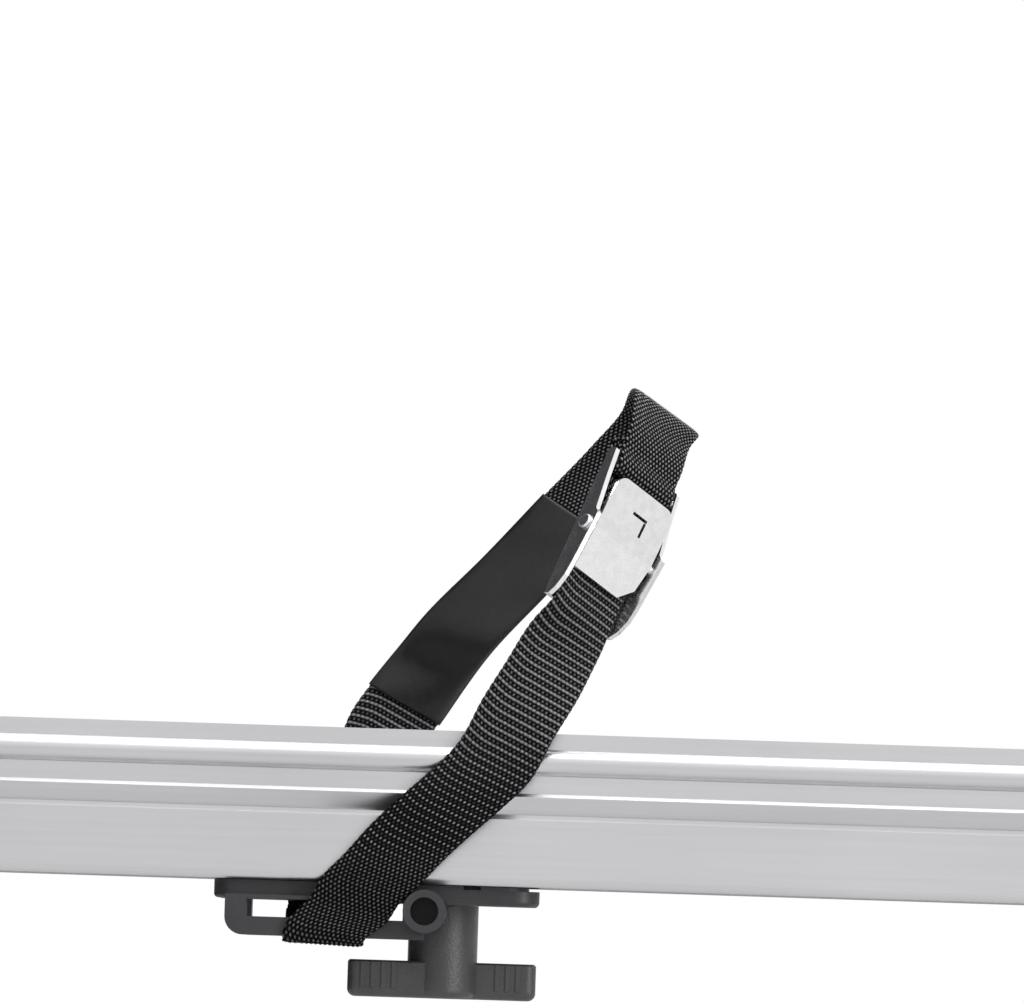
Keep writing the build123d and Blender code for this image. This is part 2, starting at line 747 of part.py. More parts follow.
def moving_claw(x, rail_y):
    """The upper claw: half a ring between two hinge knuckles and a drilled lip."""
    middle = claw_plane(x, rail_y)
    with BuildPart() as claw:
        extrude(claw_half(middle.offset(-claw_width / 2), 1), amount=claw_width)
        with BuildSketch(middle.offset(-claw_width / 2)):
            with Locations((-claw_hinge_out, 0)):
                Circle(claw_hinge_r)
        extrude(amount=claw_width)
        with BuildSketch(middle.offset(-claw_knuckle / 2 - side_gap)):
            with Locations((-claw_hinge_out, 0)):
                Circle(claw_hinge_r + side_gap)
        extrude(amount=claw_knuckle + 2 * side_gap, mode=Mode.SUBTRACT)
        with BuildSketch(middle.offset(-claw_width / 2)):
            with Locations((-claw_hinge_out, 0)):
                Circle(claw_pin_r + run_gap)
        extrude(amount=claw_width, mode=Mode.SUBTRACT)
        with BuildSketch(Plane(middle.origin, x_dir=(1, 0, 0), z_dir=(0, 0, 1))):
            with Locations((0, claw_bolt_at)):
                Circle(claw_bolt_r + run_gap)
        extrude(amount=2 * claw_wall, mode=Mode.SUBTRACT)
    return claw.part


def claw_knob(x, rail_y):
    """The star knob on the lip of the moving claw, moulded round its bolt."""
    lip_top = mast_top_z + claw_rise + claw_gap / 2 + claw_wall
    face = Plane(origin=(x, rail_y + claw_bolt_at, lip_top + slide_gap), x_dir=(1, 0, 0), z_dir=(0, 0, 1))
    with BuildPart() as knob:
        add(star_knob(face, claw_knob_hub_r, claw_knob_lobe_r, claw_knob_t))
        with BuildSketch(face.offset(-slide_gap - 2 * claw_wall - claw_gap)):
            Circle(claw_bolt_r)
        extrude(amount=2 * claw_wall + claw_gap + slide_gap)
    return knob.part


for arm_name, arm_x, arm_rail_y in (("short_arm", short_arm_x, near_rail_y), ("long_arm", long_arm_x, far_rail_y)):
    save(holding_arm(arm_x, arm_rail_y), f"{arm_name}_tube")
    save(fixed_claw(arm_x, arm_rail_y), f"{arm_name}_claw")
    save(moving_claw(arm_x, arm_rail_y), f"{arm_name}_jaw")
    save(claw_knob(arm_x, arm_rail_y), f"{arm_name}_knob")


def rail_outline():
    """Outer section of the rail, drawn with its underside on the line Z = 0: half of it, mirrored."""
    ledge_top = rail_ledge_z + rail_ledge_t
    groove_half = rail_half - rail_groove
    bead_half = rail_half - rail_bead_r
    with BuildSketch(Plane.YZ) as outline:
        with BuildLine() as half:
            Line((0, 0), (rail_body_half - rail_foot_r, 0))
            CenterArc((rail_body_half - rail_foot_r, rail_foot_r), rail_foot_r, -90, 90)
            Polyline(
                (rail_body_half, rail_foot_r),
                (rail_body_half, rail_face_top),
                (rail_body_half - rail_neck, rail_neck_z),
                (rail_half, rail_ledge_z),
                (rail_half - rail_ledge_t, ledge_top),
                (groove_half, ledge_top),
                (groove_half, rail_bead_z - rail_bead_r),
                (bead_half, rail_bead_z - rail_bead_r),
            )
            CenterArc((bead_half, rail_bead_z), rail_bead_r, -90, 180)
            Polyline(
                (bead_half, rail_bead_z + rail_bead_r),
                (bead_half, rail_height),
                (bead_half - rail_lip_wall, rail_height),
                (rail_throat_half, rail_throat_z),
                (rail_floor_half, rail_floor),
                (0, rail_floor),
            )
            mirror(about=Plane.YZ)
        make_face()
    return outline.sketch


def rail_hollows():
    """Openings in the section: the T-slot with its mouth, and a closed chamber on each side of it."""
    slope = (rail_throat_z - rail_floor) / (rail_throat_half - rail_floor_half)
    tilt = sqrt(1 + slope**2)
    chamber_right = rail_body_half - rail_wall
    under_z = rail_floor - rail_wall * tilt - rail_floor_half * slope
    with BuildSketch(Plane.YZ) as hollows:
        with Locations((0, (rail_wall + slot_roof) / 2)):
            Rectangle(slot_width, slot_roof - rail_wall)
        with Locations((0, rail_wall / 2)):
            Rectangle(slot_mouth, rail_wall)
        with BuildLine():
            Polyline(
                (slot_width / 2 + rail_wall, rail_wall),
                (chamber_right, rail_wall),
                (chamber_right, under_z + slope * chamber_right),
                ((slot_roof - under_z) / slope, slot_roof),
                (slot_width / 2 + rail_wall, slot_roof),
                close=True,
            )
        make_face()
        mirror(about=Plane.XZ)
    return hollows.sketch


def rail_at(x, y, z):
    """Where a rail's section, drawn about its own middle and underside, stands on the carrier."""
    return Location((x, y, z))


def wheel_rail(y, z):
    """One length of the extrusion, drilled for the bolts that hold it to the beams."""
    with BuildPart() as rail:
        extrude(rail_outline().moved(rail_at(-rail_length / 2, y, z)), amount=rail_length)
        extrude(rail_hollows().moved(rail_at(-rail_length / 2, y, z)), amount=rail_length, mode=Mode.SUBTRACT)
        with BuildSketch(Plane.XY.offset(z)):
            for beam_side in (-1, 1):
                with Locations((beam_side * beam_x, y)):
                    with GridLocations(rail_bolt_pitch, rail_bolt_spacing, 2, 2):
                        Circle(rail_bolt_r)
        extrude(amount=rail_floor, mode=Mode.SUBTRACT)
    return rail.part


rails = (("rail_near", near_rail_y, near_rail_z), ("rail_far", far_rail_y, far_rail_z))
for rail_name, rail_y, rail_z in rails:
    save(wheel_rail(rail_y, rail_z), rail_name)

# End caps: moulded plates of the rail's outline, pushed on to its four ends
with BuildPart() as rail_end_caps:
    for rail_name, rail_y, rail_z in rails:
        for end_x in (-rail_length / 2 - end_cap_t, rail_length / 2):
            extrude(rail_outline().moved(rail_at(end_x, rail_y, rail_z)), amount=end_cap_t)
save(rail_end_caps.part, "rail_end_caps")

# Button-head bolts through the channel floor into the beams
with BuildPart() as rail_bolts:
    for rail_name, rail_y, rail_z in rails:
        for beam_side in (-1, 1):
            with BuildSketch(Plane.XY.offset(beam_top - 2 * saddle_t)):
                with Locations((beam_side * beam_x, rail_y)):
                    with GridLocations(rail_bolt_pitch, rail_bolt_spacing, 2, 2):
                        Circle(rail_bolt_r)
            extrude(amount=rail_z + rail_floor - beam_top + 2 * saddle_t)
            with BuildSketch(Plane.XY.offset(rail_z + rail_floor)):
                with Locations((beam_side * beam_x, rail_y)):
                    with GridLocations(rail_bolt_pitch, rail_bolt_spacing, 2, 2):
                        Circle(rail_bolt_head_r)
            extrude(amount=rail_bolt_head_t, taper=20)
save(rail_bolts.part, "rail_bolts")


# Wheel holder. Its pieces are drawn about a point of their own: X along the rail, Y across it and Z up from
# the underside of the rail. Each is made once and then stands at four places, turned to face its wheel.
plate_top = -slide_gap
plate_bottom = plate_top - plate_t
bar_top = plate_bottom - bail_window
bar_bottom = bar_top - bail_bar_t

# Strap holder: plate, guide rib in the mouth of the slot, a bail and a tube stub at each side
with BuildPart() as strap_holder:
    with BuildSketch(Plane.XY.offset(plate_bottom)):
        with Locations(((plate_right - plate_left) / 2, 0)):
            RectangleRounded(plate_left + plate_right, 2 * plate_half, plate_corner_r)
    extrude(amount=plate_t - pad_t)
    fillet(strap_holder.edges().group_by(Axis.Z)[0], plate_edge_r)
    with BuildSketch(Plane.XY.offset(plate_top - pad_t)):
        with Locations(((plate_right - pad_inset - plate_left) / 2, 0)):
            RectangleRounded(plate_left + plate_right - pad_inset, 2 * plate_half, plate_corner_r)
        with Locations((pad_notch_u, plate_half), (pad_notch_u, -plate_half)):
            Rectangle(pad_notch_width, 2 * pad_notch_depth, mode=Mode.SUBTRACT)
    extrude(amount=pad_t)
    with BuildSketch(Plane.XY.offset(plate_top)):
        RectangleRounded(guide_length, slot_mouth - 2 * side_gap, 2)
    extrude(amount=guide_height - plate_top)
    with BuildSketch(Plane.XZ.offset(bail_inner)) as bail_profile:
        with BuildLine():
            Polyline(
                (-bail_left, plate_bottom + plate_edge_r),
                (-bail_left, bar_bottom),
                (tube_u, bar_bottom),
                (tube_u, plate_bottom + plate_edge_r),
                close=True,
            )
        make_face()
        fillet(bail_profile.vertices().group_by(Axis.Y)[0].sort_by(Axis.X)[0], bail_corner_r)
        window_right = tube_u - tube_d / 2
        with Locations(((window_right - bail_left + bail_wall) / 2, (plate_bottom + bar_top) / 2)):
            Rectangle(window_right + bail_left - bail_wall, bail_window, mode=Mode.SUBTRACT)
    extrude(amount=bail_outer - bail_inner)
    mirror(about=Plane.XZ)
    with BuildSketch(Plane.XZ.offset(bail_inner)):
        with Locations((tube_u, tube_w)):
            Circle(tube_d / 2)
    extrude(amount=tube_front - bail_inner)
    with BuildSketch(Plane.XZ.offset(-tube_front)):
        with Locations((tube_u, tube_w)):
            Circle(tube_d / 2)
    extrude(amount=tube_front - bail_inner)
    for stub_start in (tube_front - tube_depth, -tube_front):
        with BuildSketch(Plane.XZ.offset(stub_start)):
            with Locations((tube_u, tube_w)):
                Circle(tube_bore / 2)
        extrude(amount=tube_depth, mode=Mode.SUBTRACT)
    with BuildSketch(Plane.XY.offset(plate_bottom)):
        Circle(t_bolt_r + slide_gap)
    extrude(amount=plate_t + guide_height - plate_top, mode=Mode.SUBTRACT)

# T-bolt: its head lies in the slot of the rail and its shank passes the plate into the knob
with BuildPart() as t_bolt:
    with BuildSketch(Plane.XY.offset(rail_wall + slide_gap)):
        RectangleRounded(t_head_length, slot_width - 4 * slide_gap, 2)
    extrude(amount=t_head_t)
    with BuildSketch(Plane.XY.offset(rail_wall + slide_gap)):
        Circle(t_bolt_r)
    extrude(amount=-(t_bolt_length + rail_wall))

# Wing knob: a round hub with a wing on each side. Each wing leads on one face and is stepped back on the
# other, and both faces are ribbed for the fingers.
wing_middle = wing_t / 2 - wing_face
with BuildPart() as wing_knob:
    with BuildSketch(Plane.XY.offset(-wing_bottom)):
        Circle(knob_neck_r)
        with Locations((-wing_reach / 2, wing_middle), (wing_reach / 2, -wing_middle)):
            Rectangle(wing_reach, wing_t)
    extrude(amount=wing_bottom - wing_top)
    fillet(wing_knob.edges().filter_by(Axis.Z).group_by(Axis.X)[0], wing_corner_r)
    fillet(wing_knob.edges().filter_by(Axis.Z).group_by(Axis.X)[-1], wing_corner_r)
    fillet(wing_knob.edges().group_by(Axis.Z)[0], wing_edge_r)
    chamfer(wing_knob.edges().group_by(Axis.Z)[-1], wing_edge_r / 4)
    with BuildSketch(Plane.XY.offset(plate_bottom - slide_gap)):
        Circle(knob_neck_r)
    extrude(amount=plate_bottom - slide_gap + wing_bottom - wing_edge_r, dir=(0, 0, -1))
    with BuildSketch(Plane.XY.offset(-wing_bottom + wing_rib_foot)):
        for rib in range(wing_rib_count):
            lead_u = wing_rib_first + rib * wing_rib_pitch
            with Locations((-lead_u, -wing_face), (lead_u, wing_face)):
                Rectangle(wing_rib_width, 2 * wing_rib_depth)
        for rib in range(wing_back_count):
            back_u = wing_back_first + rib * wing_rib_pitch
            with Locations((back_u, wing_face - wing_t), (-back_u, wing_t - wing_face)):
                Rectangle(wing_rib_width, 2 * wing_rib_depth)
    extrude(amount=wing_bottom - wing_top - wing_rib_foot - wing_rib_depth)
    with BuildSketch(Plane.XY.offset(plate_bottom - slide_gap)):
        Circle(t_bolt_r + run_gap)
    extrude(amount=plate_bottom - slide_gap + t_bolt_length, dir=(0, 0, -1), mode=Mode.SUBTRACT)

# Cam buckle. It lies on the strap, leaning with it: X across the webbing, Y up along it and Z outwards.
flange_v = rail_half + soft_gap + strap_t / 2
body_v = rail_body_half + soft_gap + strap_t / 2
buckle_along = Vector(0.36, 0.29, 0.887).normalized()
buckle_row = Vector(0.679, 0.574, -0.458)
buckle_row = (buckle_row - buckle_along * buckle_row.dot(buckle_along)).normalized()
buckle_plane = Plane(
    origin=(buckle_u, -flange_v + buckle_lean, buckle_w),
    x_dir=buckle_row,
    z_dir=buckle_row.cross(buckle_along),
).offset(buckle_out)
cheek_out = buckle_inner / 2 + buckle_sheet
webbing_z = buckle_gap + strap_t / 2    # height of the middle of the webbing over the base plate


def buckle_point(y, z):
    """A point on the middle line of the buckle, in the wheel holder's coordinates."""
    return buckle_plane.from_local_coords(Vector(0, y, z))


# Frame: a pressed channel with two flared cheeks, a base plate under the webbing and a bar for the sewn loop
cheek_plane = Plane(
    origin=(buckle_inner / 2, 0, 0),
    x_dir=(0, 1, 0),
    z_dir=(cos(radians(cheek_flare)), 0, -sin(radians(cheek_flare))),
)
cheek_foot = -buckle_sheet * 0.8
with BuildPart() as buckle_frame:
    with BuildSketch(Plane.XY.offset(-buckle_sheet)):
        with Locations((0, (buckle_plate_top - buckle_reach) / 2)):
            Rectangle(2 * cheek_out, buckle_plate_top + buckle_reach)
    extrude(amount=buckle_sheet)
    with BuildSketch(cheek_plane) as cheek_profile:
        with BuildLine():
            Polyline(
                (-buckle_reach, cheek_foot),
                (-buckle_reach, cheek_shoulder * 0.15),
                (-buckle_reach * 0.92, cheek_shoulder * 0.5),
                (-buckle_reach * 0.75, cheek_shoulder * 0.85),
                (-buckle_reach * 0.55, cheek_shoulder),
                (0, cheek_height * 0.95),
                (cheek_ear_y, cheek_height),
                (cheek_ear_y * 1.6, cheek_shoulder),
                (buckle_plate_top, cheek_tip * 1.5),
                (finger_end, cheek_tip),
                (finger_end, cheek_foot),
                close=True,
            )
        make_face()
        fillet(cheek_profile.vertices().group_by(Axis.X)[-1], cheek_tip / 3)
    extrude(amount=buckle_sheet)
    mirror(about=Plane.YZ)
    with BuildSketch(Plane.YZ.offset(-cheek_out)):
        with Locations((buckle_bar_y, buckle_bar_z)):
            Circle(buckle_bar_r)
    extrude(amount=2 * cheek_out)
    with BuildSketch(Plane.YZ.offset(-2 * cheek_out)):
        with Locations((0, cam_pin_z)):
            Circle(cam_pin_r)
    extrude(amount=4 * cheek_out, mode=Mode.SUBTRACT)

# Cam pin: a rivet through both cheeks, with a domed head at each end
pin_half = cheek_out + (cam_pin_z + cam_head_r) * sin(radians(cheek_flare)) + run_gap
with BuildPart() as cam_pin:
    with BuildSketch(Plane.YZ.offset(pin_half)):
        with Locations((0, cam_pin_z)):
            Circle(cam_head_r)
    extrude(amount=cam_head_t)
    fillet(cam_pin.edges().group_by(Axis.X)[-1], cam_head_t * 0.8)
    mirror(about=Plane.YZ)
    with BuildSketch(Plane.YZ.offset(-pin_half)):
        with Locations((0, cam_pin_z)):
            Circle(cam_pin_r)
    extrude(amount=2 * pin_half)

# Cam lever: a bent thumb plate over a toothed roll that pinches the webbing
with BuildPart() as cam_lever:
    with BuildSketch(Plane.YZ.offset(-cam_lever_width / 2)):
        with BuildLine():
            Polyline(
                (-cam_lever_bottom, cam_lever_foot_z),
                (0, cam_lever_bend_z),
                (cam_lever_top, cam_lever_thumb_z),
                (cam_lever_top, cam_lever_thumb_z - cam_lever_t),
                (0, cam_lever_bend_z - cam_lever_t),
                (-cam_lever_bottom, cam_lever_foot_z - cam_lever_t),
                close=True,
            )
        make_face()
    extrude(amount=cam_lever_width)
    with BuildSketch() as thumb_outline:
        with BuildLine():
            Polyline(
                (-cam_lever_width * 0.465, -cam_lever_bottom),
                (-cam_lever_width / 2, 0),
                (-cam_lever_width / 2, cam_lever_top / 2),
                (-cam_lever_width * 0.475, cam_lever_top),
                (cam_lever_width * 0.475, cam_lever_top),
                (cam_lever_width / 2, cam_lever_top / 2),
                (cam_lever_width / 2, 0),
                (cam_lever_width * 0.475, -cam_lever_bottom * 0.65),
                (cam_lever_width * 0.3, -cam_lever_bottom),
                close=True,
            )
        make_face()
        fillet(thumb_outline.vertices().group_by(Axis.Y)[-1], cam_lever_corner_r)
    extrude(amount=2 * cam_lever_thumb_z, mode=Mode.INTERSECT)
    with BuildSketch():
        with Locations((cam_slot_width, cam_slot_y)):
            Rectangle(cam_slot_length, cam_slot_width)
        with Locations((cam_slot_length / 2 + cam_slot_width / 2, cam_slot_y - cam_slot_length / 2)):
            Rectangle(cam_slot_width, cam_slot_length * 0.8)
    extrude(amount=2 * cam_lever_thumb_z, mode=Mode.SUBTRACT)
    with BuildSketch(Plane.YZ.offset(side_gap - buckle_inner / 2)):
        with Locations((0, cam_pin_z)):
            Circle(cam_r)
            with PolarLocations(cam_r, cam_tooth_count, start_angle=200, angular_range=140):
                Rectangle(cam_tooth * sqrt(2), cam_tooth * sqrt(2), rotation=45)
    extrude(amount=buckle_inner - 2 * side_gap)
    with BuildSketch(Plane.YZ.offset(-cheek_out)):
        with Locations((0, cam_pin_z)):
            Circle(cam_pin_r + run_gap)
    extrude(amount=2 * cheek_out, mode=Mode.SUBTRACT)


def row_slope(degrees_down, back=0.0):
    """Direction of a row of the weave that falls to the right, and runs back from the viewer by this share."""
    return Vector(cos(radians(degrees_down)), back, -sin(radians(degrees_down))).normalized()


# Route of the strap, as the middle of each row and the direction of the row.
# It starts at its end sewn round the buckle's bar and runs up over the rim.
loop_r = buckle_bar_r + buckle_gap + strap_t / 2
layer = (strap_t + buckle_gap) / 2
sewn_end = buckle_bar_y + 3.2 * loop_r
tail_z = buckle_bar_z - loop_r - strap_t - buckle_gap
strap_route = [
    (buckle_point(sewn_end, buckle_bar_z - layer), buckle_row),
    (buckle_point(buckle_bar_y + 2 * loop_r, buckle_bar_z - layer), buckle_row),
]
for turn in (-10, 20, 55, 90, 125, 160, 190):
    around = radians(turn)
    loop_y = buckle_bar_y - loop_r * sin(around)
    strap_route.append((buckle_point(loop_y, buckle_bar_z - loop_r * cos(around)), buckle_row))
strap_route.append((buckle_point(buckle_bar_y + 2 * loop_r, buckle_bar_z + layer), buckle_row))
strap_route.append((buckle_point(sewn_end, buckle_bar_z + layer), buckle_row))

# Over the rim and down behind the wheel
rim_row = row_slope(34)
rear_first = len(strap_route) + 6
strap_route += [
    (Vector(50.6, -13.5, 116.6), row_slope(34, 0.53)),
    (Vector(51.6, -8.5, 119.3), row_slope(34, 0.27)),
    (Vector(51.2, 0.0, 120.2), rim_row),
    (Vector(50.2, 8.5, 119.3), row_slope(34, -0.2)),
    (Vector(48.6, 13.5, 116.3), row_slope(34, -0.4)),
    (Vector(41.0, 18.0, 107.5), row_slope(34, -0.5)),
    (Vector(29.5, 22.5, 95.0), row_slope(33, -0.5)),
    (Vector(15.0, 27.0, 79.0), row_slope(31, -0.5)),
    (Vector(1.3, 31.0, 64.2), row_slope(30, -0.4)),
    (Vector(-6.0, flange_v - 3.0, 54.5), row_slope(30, -0.3)),
    (Vector(-12.0, flange_v, 46.0), row_slope(29, -0.1)),
    (Vector(-16.5, flange_v, 39.0), row_slope(27)),
    (Vector(-19.5, flange_v, rail_bead_z), row_slope(25)),
    (Vector(-24.0, flange_v, rail_ledge_z - 3.0), row_slope(22)),
    (Vector(-27.0, body_v + 1.0, 10.0), row_slope(16)),
    (Vector(-28.7, body_v + 0.9, 1.0), row_slope(8)),
]

# Round the rear edge of the plate, in through the rear window, forward over the bar and out below the front one
window_middle = (plate_bottom + bar_top) / 2
under_bar = bar_bottom - soft_gap - strap_t / 2
before_bar = -bail_outer - soft_gap - strap_t / 2
fold_r = strap_t / 2 + soft_gap + 0.4
level_row = Vector(1, 0, 0)
strap_route += [
    (Vector(-29.6, bail_outer + 2.0, plate_bottom + 2.0), level_row),
    (Vector(-29.7, bail_outer + 1.4, plate_bottom - 0.3), level_row),
    (Vector(-29.8, bail_outer, window_middle), level_row),
    (Vector(-29.8, bail_outer - 3.0, window_middle), level_row),
    (Vector(-29.8, bail_inner - 2.0, window_middle), level_row),
    (Vector(-29.7, 8.0, (window_middle + under_bar) / 2 + 1.0), level_row),
    (Vector(-29.6, -8.0, under_bar + 1.0), level_row),
    (Vector(-29.6, -bail_inner + 2.0, under_bar), level_row),
    (Vector(-29.5, -bail_outer + 1.0, under_bar), level_row),
]
for turn in (80, 45, 10):
    around = radians(turn)
    fold = Vector(-29.4, -bail_outer - fold_r * cos(around), bar_bottom - fold_r * sin(around))
    strap_route.append((fold, row_slope(6 - turn / 20)))

# Up in front of the rail to the buckle, under its cam and out behind the sewn loop
strap_route += [
    (Vector(-23.1, before_bar - 1.2, -6.5), row_slope(16)),
    (Vector(-20.1, before_bar - 2.9, -1.5), row_slope(19)),
    (Vector(-16.1, before_bar - 3.7, 2.5), row_slope(21)),
    (Vector(-9.0, before_bar - 4.4, 10.5), row_slope(24)),
    (Vector(-2.6, -flange_v, 16.8), row_slope(25)),
    (Vector(3.8, -flange_v, rail_ledge_z + 0.5), row_slope(25)),
    (Vector(11.5, -flange_v, rail_bead_z), row_slope(26)),
    (Vector(17.0, -flange_v, 41.5), row_slope(27)),
    (Vector(22.5, -flange_v + 2.4, 51.0), row_slope(28, 0.12)),
    (Vector(27.5, -flange_v + 5.6, 60.5), row_slope(30, 0.35)),
    (buckle_point(-buckle_reach, webbing_z + 0.3), buckle_row),
    (buckle_point(-buckle_reach / 2, webbing_z), buckle_row),
    (buckle_point(buckle_plate_top, webbing_z), buckle_row),
    (buckle_point(buckle_plate_top + strap_t / 2, webbing_z / 2), buckle_row),
    (buckle_point(buckle_bar_y - 1.5 * loop_r, tail_z + strap_t), buckle_row),
    (buckle_point(buckle_bar_y, tail_z), buckle_row),
    (buckle_point(sewn_end, tail_z), buckle_row),
]


def band(route, width, thickness):
    """A flat band lofted through one thin section for each row of a route."""
    with BuildPart() as strip:
        for index, (middle, row) in enumerate(route):
            before = route[max(index - 1, 0)][0]
            after = route[min(index + 1, len(route) - 1)][0]
            along = (after - before).normalized()
            facing = (along - row * along.dot(row)).normalized()
            with BuildSketch(Plane(origin=middle, x_dir=row, z_dir=facing)):
                Rectangle(width, thickness)
        loft(ruled=True)
    return strip.part


with BuildPart() as strap:
    add(band(strap_route, strap_width, strap_t))

# Sleeve: a flat tube of soft plastic slid over the rear run of the strap
sleeve_route = strap_route[rear_first:rear_first + sleeve_rows + 1]
sleeve_bore = strap_t + 2 * sleeve_gap
with BuildPart() as strap_sleeve:
    add(band(sleeve_route, strap_width + 2 * sleeve_gap + 2 * sleeve_wall, sleeve_bore + 2 * sleeve_wall))
    bore_route = strap_route[rear_first - 1:rear_first + sleeve_rows + 2]
    add(band(bore_route, strap_width + 2 * sleeve_gap, sleeve_bore), mode=Mode.SUBTRACT)

holders = (
    ("near_right", near_right_x, near_rail_y, near_rail_z, 0),
    ("near_left", near_left_x, near_rail_y, near_rail_z, 180),
    ("far_right", far_right_x, far_rail_y, far_rail_z, 180),
    ("far_left", far_left_x, far_rail_y, far_rail_z, 180),
)
for holder_name, holder_x, holder_y, holder_z, holder_turn in holders:
    stand = Location((holder_x, holder_y, holder_z), (0, 0, holder_turn))
    save(strap_holder.part.moved(stand), f"{holder_name}_strap_holder")
    save(t_bolt.part.moved(stand), f"{holder_name}_t_bolt")
    save(wing_knob.part.moved(stand), f"{holder_name}_knob")
    save(strap.part.moved(stand), f"{holder_name}_strap")
    save(strap_sleeve.part.moved(stand), f"{holder_name}_sleeve")
    on_strap = stand * buckle_plane.location
    save(buckle_frame.part.moved(on_strap), f"{holder_name}_buckle_frame")
    save(cam_pin.part.moved(on_strap), f"{holder_name}_cam_pin")
    save(cam_lever.part.moved(on_strap), f"{holder_name}_cam_lever")


# Light board: a moulded shell open towards the car, ribbed, with a flat field for the number plate
board_middle_z = (board_top + board_bottom) / 2
board_height = board_top - board_bottom
board_rear = board_front + board_t
with BuildPart() as light_board:
    with BuildSketch(across(board_front)):
        with Locations((0, board_middle_z)):
            RectangleRounded(2 * board_half, board_height, 4 * board_skin)
    extrude(amount=-board_t)
    with BuildSketch(across(board_front)):
        with Locations((0, board_middle_z)):
            RectangleRounded(2 * (board_half - board_skin), board_height - 2 * board_skin, 3 * board_skin)
            with GridLocations(beam_x, 0, 9, 1):
                Rectangle(board_skin, board_height, mode=Mode.SUBTRACT)
    extrude(amount=-(board_t - board_skin - plate_recess_depth), mode=Mode.SUBTRACT)
    with BuildSketch(across(board_rear)):
        with Locations((0, board_middle_z)):
            Rectangle(2 * plate_recess_half, plate_recess_height - 2 * board_skin)
    extrude(amount=plate_recess_depth, mode=Mode.SUBTRACT)
    with BuildSketch(across(board_rear)):
        with Locations((0, board_middle_z)):
            with GridLocations(number_bolt_spacing, 0, 2, 1):
                Circle(number_bolt_r)
    extrude(amount=board_t, mode=Mode.SUBTRACT)
save(light_board.part, "light_board")

# Lamp housings behind their lenses, one at each end of the board
lamp_back = board_rear + lamp_depth
with BuildPart() as lamp_housings:
    with BuildSketch(across(board_rear)):
        with Locations((0, board_middle_z)):
            with GridLocations(2 * lamp_centre_x, 0, 2, 1):
                RectangleRounded(lamp_width, lamp_height, 3 * lamp_wall)
    extrude(amount=-lamp_depth, taper=4)
    with BuildSketch(across(lamp_back)):
        with Locations((0, board_middle_z)):
            with GridLocations(2 * lamp_centre_x, 0, 2, 1):
                RectangleRounded(lamp_width - 4 * lamp_wall, lamp_height - 4 * lamp_wall, 2 * lamp_wall)
    extrude(amount=lamp_depth - lamp_wall, mode=Mode.SUBTRACT)
save(lamp_housings.part, "lamp_housings")

with BuildPart() as lamp_lenses:
    with BuildSketch(across(lamp_back)):
        with Locations((0, board_middle_z)):
            with GridLocations(2 * lamp_centre_x, 0, 2, 1):
                RectangleRounded(lamp_width - 2 * lamp_wall, lamp_height - 2 * lamp_wall, 2 * lamp_wall)
    extrude(amount=-lens_t)
    chamfer(lamp_lenses.edges().group_by(Axis.Y)[-1], lens_t / 3)
save(lamp_lenses.part, "lamp_lenses")
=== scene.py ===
from math import atan, cos, pi, radians, sin

import bpy
import numpy as np
from mathutils import Matrix, Vector


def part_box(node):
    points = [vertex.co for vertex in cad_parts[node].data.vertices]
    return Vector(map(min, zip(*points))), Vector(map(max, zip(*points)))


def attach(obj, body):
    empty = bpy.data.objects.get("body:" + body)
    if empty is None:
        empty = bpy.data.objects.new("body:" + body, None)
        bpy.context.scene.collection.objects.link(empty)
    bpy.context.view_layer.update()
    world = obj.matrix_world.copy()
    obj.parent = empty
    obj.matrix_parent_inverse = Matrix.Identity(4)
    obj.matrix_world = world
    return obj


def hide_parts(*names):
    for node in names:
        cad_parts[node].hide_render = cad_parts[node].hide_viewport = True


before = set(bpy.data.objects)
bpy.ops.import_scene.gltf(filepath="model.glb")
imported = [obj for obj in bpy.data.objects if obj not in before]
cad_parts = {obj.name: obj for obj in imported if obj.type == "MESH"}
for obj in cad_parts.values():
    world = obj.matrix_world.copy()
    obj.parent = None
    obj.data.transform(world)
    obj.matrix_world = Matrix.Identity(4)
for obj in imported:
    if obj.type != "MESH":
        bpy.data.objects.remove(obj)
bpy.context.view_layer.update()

# Coupling castings: the cup that drops over the ball and its jaw, sand-cast iron under black
# enamel. The enamel flows over the sand grain, which breaks up its gloss.


def linear(hex_colour):
    """An sRGB hex colour as linear light: the sRGB curve is undone for each channel."""
    channels = []
    for start in (1, 3, 5):
        value = int(hex_colour[start:start + 2], 16) / 255
        channels.append(value / 12.92 if value <= 0.04045 else ((value + 0.055) / 1.055) ** 2.4)
    return (*channels, 1.0)


def add_node(tree, kind, settings=None, values=None, links=None):
    """Add a node, set its options, its unlinked inputs and the links into it, and return it."""
    node = tree.nodes.new(kind)
    for key, value in (settings or {}).items():
        setattr(node, key, value)
    for key, value in (values or {}).items():
        node.inputs[key].default_value = value
    for key, source in (links or {}).items():
        tree.links.new(source, node.inputs[key])
    return node


def new_finish(name, **shader):
    """A material with a Principled shader set to these values.

    Returns the material, its node tree, the shader and the texture coordinates.
    """
    material = bpy.data.materials.new(name)
    material.use_nodes = True
    tree = material.node_tree
    tree.nodes.clear()
    surface = add_node(tree, "ShaderNodeBsdfPrincipled")
    for key, value in shader.items():
        surface.inputs[key.replace("_", " ")].default_value = value
    add_node(tree, "ShaderNodeOutputMaterial", links={"Surface": surface.outputs["BSDF"]})
    place = add_node(tree, "ShaderNodeTexCoord")
    return material, tree, surface, place


def per_metre(millimetres):
    """Scale of a noise whose features are this many millimetres across."""
    return 1000.0 / millimetres


def dress(material, *nodes):
    """Give construction nodes this material."""
    for node in nodes:
        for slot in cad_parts[node].material_slots:
            slot.material = material


